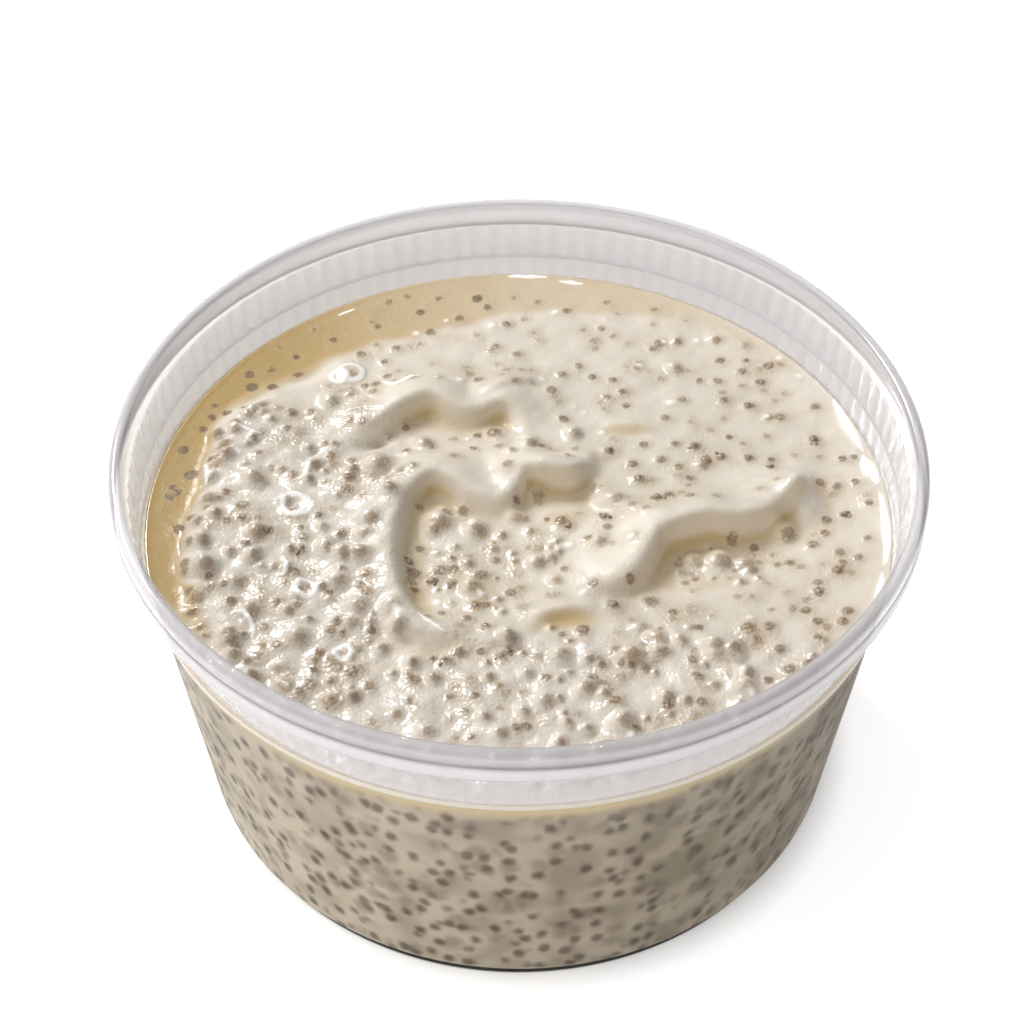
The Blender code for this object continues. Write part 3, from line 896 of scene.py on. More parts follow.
@dataclass(frozen=True)
class FloorFinish:
    """A plain pale table with a soft light under it, which the tub's foot covers: a painted near-black shadow
    under the foot, and a painted soft shadow round it that dims the glow by half.
    """

    colour: tuple = paint(250, 250, 250)
    mottle: tuple = paint(247, 247, 248)
    # Painted contact shadow: the near-black colour under the tub's foot
    foot: tuple = paint(6, 5, 5)
    foot_edge: float = 46.9
    foot_fade: float = 0.4
    # Painted soft shadow round the foot: its centre, its reach and how much of the glow it takes away
    shade_centre: tuple = (2.2, 0.5, 0.0)
    shade_reach: tuple = (45.5, 52.0)
    shade: float = 0.5
    glow: float = 0.64

    def build(self) -> bpy.types.Material:
        """Makes the material."""
        material, sheet, shader = new_material("pale floor", {
            "Roughness": 0.7,
            "Specular IOR Level": 0.2,
            "Emission Strength": self.glow,
        })
        half = self.foot_fade / 2
        # Painted shadow: a near-black colour and no glow under the foot, and half the glow taken away in a
        # soft ring round it
        clear = sheet.distance().step(self.foot_edge - half, self.foot_edge + half)
        mottled = sheet.blend(sheet.noise(60, 0) * 0.3, self.colour, self.mottle)
        away = sheet.distance(self.shade_centre).step(*self.shade_reach)
        lit = clear * (1 - self.shade + self.shade * away)
        connect(sheet, shader, {
            "Base Color": sheet.blend(clear, self.foot, mottled),
            "Emission Color": sheet.blend(lit, BLACK, WHITE),
        })
        return material


def new_object(name: str, mesh: bpy.types.Mesh) -> bpy.types.Object:
    """Links a mesh into the scene as an object at the origin."""
    made = bpy.data.objects.new(name, mesh)
    bpy.context.scene.collection.objects.link(made)
    return made


def store(mesh: bpy.types.Mesh, name: str, values: np.ndarray | list, kind: str = "FLOAT") -> None:
    """Stores a number or a vector at each point of a mesh.

    Args:
        mesh: The mesh.
        name: The attribute's name.
        values: The values of its first points, in one row. The others get 0.
        kind: The attribute's type, FLOAT or FLOAT_VECTOR.
    """
    size, member = (3, "vector") if kind == "FLOAT_VECTOR" else (1, "value")
    whole = np.zeros(size * len(mesh.vertices), np.float32)
    whole[:len(values)] = values
    mesh.attributes.new(name, kind, "POINT").data.foreach_set(member, whole)


def start_tree(name: str, inputs: tuple[str, ...]) -> tuple[Sheet, dict[str, str], list[Wire]]:
    """Starts a geometry tree that takes a geometry and some numbers.

    Args:
        name: The tree's name.
        inputs: The names of the numbers.

    Returns:
        The tree's sheet, the identifier of each number by name, and the wires of the geometry and the
        numbers.
    """
    tree = bpy.data.node_groups.new(name, "GeometryNodeTree")
    tree.interface.new_socket("Geometry", in_out="INPUT", socket_type="NodeSocketGeometry")
    names = {
        key: tree.interface.new_socket(key, in_out="INPUT", socket_type="NodeSocketFloat").identifier
        for key in inputs
    }
    tree.interface.new_socket("Geometry", in_out="OUTPUT", socket_type="NodeSocketGeometry")
    sheet = Sheet(tree)
    entry = tree.nodes.new("NodeGroupInput")
    return sheet, names, [Wire(sheet, entry.outputs[i]) for i in range(len(inputs) + 1)]


def outer_radius(height: float) -> float:
    """The outer radius of the tapered wall at a height."""
    return BASE_RADIUS + TAPER * height


def rounded_corner(start: tuple, corner: tuple, end: tuple, radius: float, steps: int) -> list[tuple]:
    """Rounds the corner between two straight runs.

    Args:
        start: A point on the first run.
        corner: The corner itself.
        end: A point on the second run.
        radius: The radius of the arc.
        steps: How many straight pieces the arc has.

    Returns:
        The points of the arc.
    """
    corner = Vector(corner)
    first = (Vector(start) - corner).normalized()
    last = (Vector(end) - corner).normalized()
    half = first.angle(last) / 2
    centre = corner + (first + last).normalized() * radius / math.sin(half)
    reach = radius / math.tan(half)
    begin = corner + first * reach - centre
    finish = corner + last * reach - centre
    sweep = begin.angle_signed(finish)
    points = []
    for step in range(steps + 1):
        angle = -sweep * step / steps
        points.append((
            centre.x + begin.x * math.cos(angle) - begin.y * math.sin(angle),
            centre.y + begin.x * math.sin(angle) + begin.y * math.cos(angle),
        ))
    return points


def base_corner(inset: float, steps: int) -> list[tuple]:
    """The tub's rounded base corner, going up, moved inwards.

    Args:
        inset: How far it is moved inwards.
        steps: How many straight pieces it has.

    Returns:
        Its points as (radius, height).
    """
    corner = (outer_radius(inset) - inset, inset)
    top = (outer_radius(RIM_HEIGHT) - inset, RIM_HEIGHT)
    return rounded_corner((0, inset), corner, top, CORNER_RADIUS - inset, steps)


class Band(Enum):
    """How deep the ribs are on a stretch of the wall, as a share of their full depth."""

    PLAIN = 0.0
    RIBS = 1.0
    TIER = 0.8


@dataclass(frozen=True)
class Row:
    """One point of the tub's section, with its ribs, how dense the plastic looks and how dark its painted
    line of shade and refraction is.
    """

    radius: float
    height: float
    band: Band = Band.PLAIN
    veil: float = 0.035
    line: float = 0.0


@dataclass
class Tub:
    """The clear tub: one turned wall with ribs, a tier of squares, a ledge, a rolled bead and a skirt."""

    ledge_height: float = 53.1
    ledge_depth: float = 0.25
    bead_radius: float = 1.08
    bead_steps: int = 20
    bead_depth: float = 2.6
    skirt_depth: float = 5.3
    skirt_wall: float = 0.8
    groove: float = 0.2
    channel_depth: float = 2.4
    corner_steps: int = 9
    rib_count: int = 111
    rib_columns: int = 6
    rib_depth: float = 0.26
    rib_top: float = 58.9
    tier_bottom: float = 49.0
    fade: float = 0.35
    rim_veil: float = 0.7
    # How much lighter and clearer the painted light makes the top of the rim at the back
    back_share: float = 0.6
    clear_from: float = 57.6
    # Painted dark lines of shade and refraction round the bead: shares of the way round it, and how dark
    bead_shade_lines: tuple = (
        (0, 0.15, 0.2, 0.27, 0.34, 0.45, 0.66, 0.74, 0.82, 1),
        (0.2, 0.3, 0.6, 0.95, 0.45, 0.1, 0.15, 0.35, 0.35, 0.45),
    )
    # How strong the painted light and dark stripes along the ribs are
    rib_shade: float = 0.06
    groove_share: float = 0.42

    def inside(self) -> list[Row]:
        """The section from the floor's centre up the inside."""
        ledge_wall = outer_radius(self.ledge_height) - WALL
        upper_wall = ledge_wall + self.ledge_depth
        low, high = self.tier_bottom, self.ledge_height - 0.1
        rows = [Row(0, WALL), Row(30, WALL)]
        rows += [Row(*point) for point in base_corner(WALL, self.corner_steps)]
        rows += [Row(outer_radius(height) - WALL, height) for height in (30, 47.7)]
        # Painted dark lines of shade and refraction along the tier and the ledge
        for height, band, veil, line in (
            (low - 0.9, Band.PLAIN, 0.75, 0.15), (low, Band.PLAIN, 0.74, 0.3),
            (low + self.fade, Band.TIER, 0.7, 0.4), (high - self.fade, Band.TIER, 0.7, 0.45),
            (high, Band.PLAIN, 0.75, 0.55),
        ):
            rows.append(Row(outer_radius(height) - WALL, height, band, veil, line))
        start = self.ledge_height + self.ledge_depth
        channel_top = RIM_HEIGHT - self.channel_depth
        slope = (outer_radius(channel_top) - WALL - upper_wall) / (channel_top - start)
        rows.append(Row(ledge_wall, self.ledge_height, Band.PLAIN, 0.78, 0.65))
        # Painted dark lines along the ribbed band, fading out above it
        for height, band, veil, line in (
            (start, Band.PLAIN, 0.74, 0.52), (start + self.fade, Band.RIBS, 0.72, 0.5),
            (self.rib_top - self.fade, Band.RIBS, 0.7, 0.4), (self.rib_top, Band.PLAIN, 0.62, 0.22),
            (self.rib_top + 0.6, Band.PLAIN, 0.5, 0.05), (channel_top, Band.PLAIN, 0.5, 0.0),
        ):
            rows.append(Row(upper_wall + slope * (height - start), height, band, veil, line))
        return rows

    def rim(self) -> list[Row]:
        """The section over the bead and down the skirt, back up to the outer wall."""
        centre = (RIM_RADIUS - self.bead_radius, RIM_HEIGHT - self.bead_radius)
        rows = []
        for step in range(self.bead_steps + 1):
            share = step / self.bead_steps
            angle = math.pi * (1 - share)
            line = float(np.interp(share, *self.bead_shade_lines))
            radius = centre[0] + self.bead_radius * math.cos(angle)
            height = centre[1] + self.bead_radius * math.sin(angle)
            rows.append(Row(radius, height, Band.PLAIN, self.rim_veil, line))
        skirt_top = RIM_HEIGHT - self.bead_depth
        skirt_bottom = RIM_HEIGHT - self.skirt_depth
        skirt_inside = RIM_RADIUS - self.skirt_wall
        channel_top = RIM_HEIGHT - self.channel_depth
        # Painted dark lines of shade and refraction in the groove under the bead and at the skirt's lower
        # edge
        for radius, height, veil, line in (
            (RIM_RADIUS - 0.02, skirt_top + 1.1, 0.7, 0.65), (RIM_RADIUS - 0.06, skirt_top + 0.6, 0.78, 1.0),
            (RIM_RADIUS - self.groove, skirt_top + 0.12, 0.92, 1.25),
            (RIM_RADIUS - self.groove, skirt_top - 0.12, 0.9, 1.2),
            (RIM_RADIUS - 0.03, skirt_top - 0.4, 0.72, 0.2),
            (RIM_RADIUS, skirt_top - 0.8, 0.72, -0.1), (RIM_RADIUS, skirt_bottom + 0.55, 0.72, -0.1),
            (RIM_RADIUS - 0.08, skirt_bottom + 0.22, 0.8, 0.75), (RIM_RADIUS - 0.26, skirt_bottom, 0.9, 1.3),
            (skirt_inside + 0.16, skirt_bottom, 0.6, 0.8), (skirt_inside, skirt_bottom + 0.16, 0.2, 0.2),
            (skirt_inside, channel_top - 0.3, 0.12, 0.0), (skirt_inside - 0.25, channel_top, 0.2, 0.1),
            (outer_radius(channel_top) + 0.2, channel_top, 0.2, 0.1),
            (outer_radius(channel_top), channel_top - 0.25, 0.12, 0.0),
        ):
            rows.append(Row(radius, height, Band.PLAIN, veil, line))
        return rows

    def outside(self) -> list[Row]:
        """The section down the outer wall and round the base to its centre."""
        # Painted dark lines along the outer ledge
        rows = [
            Row(outer_radius(height), height, Band.PLAIN, veil, line)
            for height, veil, line in (
                (53.6, 0.2, 0.2), (53.1, 0.25, 0.3), (52.6, 0.2, 0.2), (49.2, 0.2, 0.1), (48.9, 0.55, 0.0),
                (48.1, 0.6, 0.0), (47.8, 0.08, 0.2), (30, 0.03, 0.0),
            )
        ]
        corner = [Row(*point, Band.PLAIN, 0.04) for point in reversed(base_corner(0, self.corner_steps))]
        # Painted contact shadow: a dark line along the bottom of the base
        corner[-1] = Row(corner[-1].radius, corner[-1].height, Band.PLAIN, 0.3, 1.0)
        return rows + corner + [Row(30, 0), Row(0, 0)]

    def turned(self) -> bpy.types.Mesh:
        """Turns the section round Z, and stores what each of its points carries."""
        first, *rings, last = self.inside() + self.rim() + self.outside()
        columns = self.rib_count * self.rib_columns
        angle = np.arange(columns) * 2 * math.pi / columns
        ways = np.column_stack([np.cos(angle), np.sin(angle), np.ones(columns)])
        points = [np.array([[0, 0, first.height]])]
        points += [ways * (row.radius, row.radius, row.height) for row in rings]
        points.append(np.array([[0, 0, last.height]]))
        faces = []
        end = columns * len(rings) + 1
        for i in range(columns):
            j = (i + 1) % columns
            faces.append((0, 1 + i, 1 + j))
            faces.append((end, end - columns + j, end - columns + i))
            for start in range(1, end - columns, columns):
                faces.append((start + i, start + columns + i, start + columns + j, start + j))
        mesh = bpy.data.meshes.new("tub")
        mesh.from_pydata((np.vstack(points) * MM).tolist(), [], faces)
        even = np.ones(columns)
        ribbed = np.array([row.band.value for row in rings])
        high = np.array([row.height > self.rib_top and row.radius > self.clear_from for row in rings])
        # Painted light: the top of the rim is lighter and clearer towards the back (+Y)
        painted_back_light = 1 - np.outer(high, self.back_share * np.clip(np.sin(angle), 0, 1))
        # Painted light and dark stripes along the ribs
        rib_shading = self.rib_shade * np.outer(ribbed, np.cos(angle * self.rib_count))
        veil = np.outer([row.veil for row in rings], even) * painted_back_light
        line = (np.outer([row.line for row in rings], even) + rib_shading) * painted_back_light
        store(mesh, "ribbed", [first.band.value, *np.repeat(ribbed, columns), last.band.value])
        store(mesh, "veil", [first.veil, *veil.ravel(), last.veil])
        store(mesh, "line", [first.line, *line.ravel(), last.line])
        mesh.shade_smooth()
        return mesh

    def rib_tree(self, finish: bpy.types.Material) -> tuple[bpy.types.NodeTree, dict[str, float]]:
        """Makes the tree that presses the ribs into the wall.

        Args:
            finish: The material that the tree sets at its end.

        Returns:
            The tree, and the value of each of its inputs by identifier.
        """
        settings = {
            "Rib Count": float(self.rib_count),
            "Rib Depth": self.rib_depth * MM,
            "Groove Share": self.groove_share,
        }
        sheet, names, (shape, count, depth, share) = start_tree("pressed ribs", tuple(settings))
        point = sheet.node("GeometryNodeInputPosition")
        x = sheet.node("ShaderNodeSeparateXYZ", None, {0: point}, "X")
        y = sheet.node("ShaderNodeSeparateXYZ", None, {0: point}, "Y")
        turn = y.maths("ARCTAN2", y, x) / (2 * math.pi) + 1
        phase = turn.maths("FRACT", turn * count)
        off_centre = phase.maths("ABSOLUTE", phase - 0.5) * 2
        wave = ((off_centre - 1 + share) / share).step(-0.35, 0.75)
        outward = sheet.node("ShaderNodeCombineXYZ", None, {"X": x, "Y": y})
        way = sheet.node("ShaderNodeVectorMath", {"operation": "NORMALIZE"}, {0: outward})
        sheet.end(sheet.moved(shape, way, wave * sheet.stored("ribbed") * depth), finish)
        return sheet.tree, {names[name]: value for name, value in settings.items()}

    def build(self) -> bpy.types.Object:
        """Builds and dresses the tub."""
        blank = new_object("tub_blank", self.turned())
        mesh = grown(blank, *self.rib_tree(PlasticFinish().build()), "tub_wall")
        tub = new_object("tub_wall", mesh)
        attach(tub, "root")
        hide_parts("tub")
        tub.visible_shadow = False
        return tub


def grown(
    blank: bpy.types.Object, tree: bpy.types.NodeTree, values: dict[str, float], name: str
) -> bpy.types.Mesh:
    """Runs a geometry tree on an object, keeps the result and removes the object.

    Args:
        blank: The object that the tree works on.
        tree: The geometry tree.
        values: The tree's inputs by identifier.
        name: The name of the resulting mesh.

    Returns:
        The plain mesh that the tree makes.
    """
    modifier = blank.modifiers.new("grown", "NODES")
    modifier.node_group = tree
    for identifier, value in values.items():
        modifier[identifier] = value
    bpy.context.view_layer.update()
    graph = bpy.context.evaluated_depsgraph_get()
    mesh = bpy.data.meshes.new_from_object(blank.evaluated_get(graph))
    mesh.name = name
    blank.modifiers.clear()
    bpy.data.objects.remove(blank, do_unlink=True)
    return mesh


def smooth_line(points: tuple, step: float) -> np.ndarray:
    """Reads a smooth curve through the points (Catmull-Rom).

    Args:
        points: The points of the crest.
        step: About how far apart the curve is read.

    Returns:
        The points of the curve.
    """
    points = np.array(points, float)
    ends = np.vstack([2 * points[0] - points[1], points, 2 * points[-1] - points[-2]])
    line = []
    for before, start, end, after in zip(ends, ends[1:], ends[2:], ends[3:]):
        count = max(2, round(float(np.linalg.norm((end - start)[:2])) / step))
        t = (np.arange(count) / count)[:, None]
        line.append(0.5 * (
            2 * start + (end - before) * t + (2 * before - 5 * start + 4 * end - after) * t ** 2
            + (3 * start - before - 3 * end + after) * t ** 3))
    return np.vstack([*line, points[-1:]])


class Relief:
    """The folds and hollows of the pudding's top, the same as in the solids, on a square map."""

    def __init__(self) -> None:
        """Works out the map and how far each of its points is from a crest."""
        axis = np.arange(-MAP_REACH, MAP_REACH + MAP_STEP, MAP_STEP)
        self.x, self.y = np.meshgrid(axis, axis)
        spots = np.column_stack([self.x.ravel(), self.y.ravel()])
        lift = sum(self.fold_height(fold, spots) for fold in FOLDS.values())
        lift -= sum(self.hollow_depth(hollow, spots) for hollow in HOLLOWS.values())
        self.lift = self.softened(lift.reshape(self.x.shape), SOFTNESS, SOFT_STEPS)

    @staticmethod
    def fold_height(fold: Fold, spots: np.ndarray) -> np.ndarray:
        """Tells how far one fold lifts the cream. Runs of the crest that lie near each other are blended.

        Args:
            fold: The fold.
            spots: The spots, as rows of (x, y).

        Returns:
            The lift at each spot.
        """
        line = smooth_line(fold.crest, LINE_STEP)
        room = 2.5 * max(fold.back, fold.front + fold.reach)
        near = ((spots > line[:, :2].min(0) - room) & (spots < line[:, :2].max(0) + room)).all(1)
        distances, sides, lifts = [], [], []
        for start, end in zip(line, line[1:]):
            along = (end - start)[:2]
            offset = spots[near] - start[:2]
            share = np.clip(offset @ along / (along @ along), 0, 1)
            away = offset - share[:, None] * along
            distances.append(np.hypot(away[:, 0], away[:, 1]))
            sides.append((along[0] * away[:, 1] - along[1] * away[:, 0]) / np.linalg.norm(along))
            lifts.append(start[2] + share * (end[2] - start[2]))
        distance = np.min(distances, axis=0)
        weights = np.exp((distance ** 2 - np.square(distances)) / RUN_BLEND ** 2)
        weights /= weights.sum(0)
        side = (weights * sides).sum(0)
        lift = (weights * lifts).sum(0)
        behind = lift * np.exp(-((distance / fold.back) ** 2))
        fall = ease(distance, 0, fold.front)
        past = np.maximum(distance - fold.front, 0) / fold.reach
        ahead = lift * (1 - fall) + fold.foot * np.clip(lift / 2, 0, 1) * fall * np.exp(-(past ** 2))
        height = np.zeros(len(spots))
        height[near] = ahead + (behind - ahead) * np.clip(0.5 + side / (0.3 + 0.5 * distance), 0, 1)
        return height

    @staticmethod
    def hollow_depth(hollow: Hollow, spots: np.ndarray) -> np.ndarray:
        """Tells how far one hollow lowers the cream.

        Args:
            hollow: The hollow.
            spots: The spots, as rows of (x, y).

        Returns:
            The drop at each spot.
        """
        turn = math.radians(hollow.turn)
        offset = spots - np.array(hollow.centre)
        along = (offset[:, 0] * math.cos(turn) + offset[:, 1] * math.sin(turn)) / hollow.radii[0]
        across = (offset[:, 1] * math.cos(turn) - offset[:, 0] * math.sin(turn)) / hollow.radii[1]
        return hollow.depth * np.exp(-((along ** 2 + across ** 2) ** 1.5))

    @staticmethod
    def softened(grid: np.ndarray, radius: float, steps: int) -> np.ndarray:
        """Blurs a map.

        Args:
            grid: The map.
            radius: The blur, in millimetres.
            steps: How many points of the map the blur reaches.

        Returns:
            The blurred map.
        """
        offsets = np.arange(-steps, steps + 1) * MAP_STEP
        kernel = np.exp(-((offsets / radius) ** 2) / 2)
        kernel /= kernel.sum()
        for side in (0, 1):
            grid = np.apply_along_axis(np.convolve, side, grid, kernel, "same")
        return grid

    @staticmethod
    def read(grid: np.ndarray, spots: np.ndarray) -> np.ndarray:
        """Reads a map between its four nearest points.

        Args:
            grid: The map.
            spots: The spots, as rows of (x, y).

        Returns:
            The map's value at each spot.
        """
        place = (np.asarray(spots, float)[:, ::-1] + MAP_REACH) / MAP_STEP
        whole = np.floor(place).astype(int)
        row, column = whole.T
        down, right = (place - whole).T
        near = grid[row, column] * (1 - right) + grid[row, column + 1] * right
        far = grid[row + 1, column] * (1 - right) + grid[row + 1, column + 1] * right
        return near * (1 - down) + far * down

    def height(self, spots: np.ndarray) -> np.ndarray:
        """Tells how high the top is at each spot.

        Args:
            spots: The spots, as rows of (x, y).

        Returns:
            The heights.
        """
        spots = np.asarray(spots, float)
        inside = np.clip((RELIEF_EDGE - np.linalg.norm(spots, axis=1)) / RELIEF_FADE, 0, 1)
        return LEVEL + TILT * spots[:, 1] + (self.read(self.lift, spots) - POOL_DROP) * inside

    def crest_distance(self, names: tuple[str, ...], spots: np.ndarray) -> np.ndarray:
        """Tells how far each spot is from the nearest of some crests.

        Args:
            names: The names of the folds.
            spots: The spots, as rows of (x, y).

        Returns:
            The distances.
        """
        lines = [smooth_line(FOLDS[name].crest, LINE_STEP)[:, :2] for name in names]
        points = np.vstack(lines)
        return np.min([np.hypot(*(spots - point).T) for point in points], axis=0)


@dataclass(frozen=True)
class Viewpoint:
    """Where the photo was taken from, in metres and degrees, and how it looks at the tub."""

    place: tuple = (0.0, -0.25316, 0.29412)
    pitch: float = 44.10
    yaw: float = -0.225
    lens: float = 84.375
    sensor: float = 36.0
    picture: int = 1024

    def axes(self) -> tuple[Vector, Vector, Vector]:
        """The directions to the right, up and forward."""
        pitch, yaw = math.radians(self.pitch), math.radians(self.yaw)
        forward = Vector((math.sin(yaw) * math.cos(pitch), math.cos(yaw) * math.cos(pitch), -math.sin(pitch)))
        right = forward.cross(Vector((0, 0, 1))).normalized()
        return right, right.cross(forward), forward

    def spot(self, across: float, down: float) -> tuple[float, float]:
        """Finds the spot of the pudding's level that a pixel of the photo shows.

        Args:
            across, down: The pixel.

        Returns:
            The spot as (x, y), in millimetres.
        """
        right, up, forward = self.axes()
        half = self.picture / 2
        ahead = self.lens / self.sensor * self.picture
        way = forward * ahead + right * (across - half) - up * (down - half)
        reach = (MARK_LEVEL * MM - self.place[2]) / way.z
        place = Vector(self.place) + way * reach
        return place.x / MM, place.y / MM


@dataclass
class Sprinkle:
    """The grains of the top: where they lie, how large they are and how much cream covers them."""

    seed: int = 14
    tries: int = 9000
    most: int = 330
    reach: float = 51.5
    smallest: float = 0.4
    quiet_growth: float = 0.35
    busy_growth: float = 0.75
    quiet_share: float = 0.3
    gap: float = 0.25
    crest_room: float = 2.2
    crowding: float = 0.85
    mass_edges: tuple = (-15, 22, -22)
    scoops: tuple = ((-3, -8, 1, 12), (29, -9, 2, 5))
    rooms: tuple = (
        ("bare", BARE, 0.2), ("dark", seen("dark"), 0.6), ("coated", seen("coated") + BANK_GRAINS, 0.5),
        ("faint", seen("faint"), 0.4), ("sunken", SUNKEN, 0.3),
    )

    def marked(self, view: Viewpoint, marks: tuple, taken: list[tuple], room: float) -> list[tuple]:
        """Turns marks of the photo into spots, and drops those that lie on a grain that is there already.

        Args:
            view: Where the photo was taken from.
            marks: The marks.
            taken: The grains that are there already, to which these are added.
            room: How near they may lie, as a share of their radii.

        Returns:
            The grains as (x, y, radius).
        """
        found = []
        for across, down, radius in marks:
            x, y = view.spot(across, down)
            if all(math.hypot(x - a, y - b) > room * (radius + c) for a, b, c in taken):
                found.append((x, y, radius))
        taken += found
        return found

    def busy(self, x: float, y: float) -> bool:
        """Tells whether grains lie close and large at a spot.

        Args:
            x, y: The spot.

        Returns:
            Whether it lies in the lumpy mass at the left and front, or in a scoop.
        """
        left, back, front = self.mass_edges
        if x < left and y < back or y < front:
            return True
        return any(math.hypot((x - a) / wide, y - b) < reach for a, b, wide, reach in self.scoops)

    def places(self, relief: Relief, view: Viewpoint) -> dict[str, np.ndarray]:
        """Sets the grains that the photo shows, and scatters small ones between them by a seeded rule.

        Args:
            relief: The folds, whose smooth crests carry no scattered grains.
            view: Where the photo was taken from.

        Returns:
            The grains of each kind, as rows of (x, y, radius).
        """
        draw = random.Random(self.seed)
        taken = list(LUMPS)
        kinds = {"lumps": LUMPS}
        for kind, marks, room in self.rooms:
            kinds[kind] = self.marked(view, marks, taken, room)
        candidates = []
        for _ in range(self.tries):
            distance = self.reach * math.sqrt(draw.random())
            angle = draw.uniform(0, 2 * math.pi)
            candidates.append((distance * math.cos(angle), distance * math.sin(angle), draw.random()))
        spots = np.array(candidates)
        clear = relief.crest_distance(("back fold", "scoop rim", "side fold"), spots[:, :2])
        pool = pool_share(spots[:, :2])
        added = 0
        for (x, y, luck), away, tan in zip(candidates, clear, pool):
            busy = self.busy(x, y)
            radius = self.smallest + (self.busy_growth if busy else self.quiet_growth) * luck ** 1.5
            crowded = any(
                math.hypot(x - a, y - b) < self.crowding * (radius + c) + self.gap for a, b, c in taken)
            drowned = tan > 0.3 and not (tan < 0.75 and x < -30)
            if crowded or away < self.crest_room or drowned:
                continue
            if draw.random() > (1.0 if busy else self.quiet_share):
                continue
            taken.append((x, y, radius))
            kind = draw.choice(("coated", "coated", "dark", "faint") if busy else ("dark", "faint", "faint"))
            kinds[kind].append((x, y, radius))
            added += 1
            if added == self.most:
                break
        return {kind: np.array(kinds[kind], float) for kind in COVERS}


def pool_share(spots: np.ndarray, inwards: float = 0.0) -> np.ndarray:
    """Tells how much of the thinner cream lies at each spot.

    Args:
        spots: The spots, as rows of (x, y).
        inwards: How much further in the edge is taken to be, in millimetres.

    Returns:
        The shares, from 0 to 1.
    """
    edge = np.array(POOL_EDGE)
    turn = np.unwrap(np.arctan2(edge[:, 1], edge[:, 0]))
    around = np.arctan2(spots[:, 1], spots[:, 0])
    start = turn.max()
    around = np.where(around > start - 2 * math.pi, around, around + 2 * math.pi)
    around = np.where(around > start, around - 2 * math.pi, around)
    order = np.argsort(turn)
    limit = np.interp(around, turn[order], np.hypot(edge[:, 0], edge[:, 1])[order], 70, 70)
    strength = np.interp(around, turn[order], edge[order, 2], 0, 0)
    wave = sum(size * np.sin(count * around + phase) for size, count, phase in POOL_WAVES)
    past = np.hypot(spots[:, 0], spots[:, 1]) - limit + wave
    return ease(past + inwards, *POOL_FADE) * strength


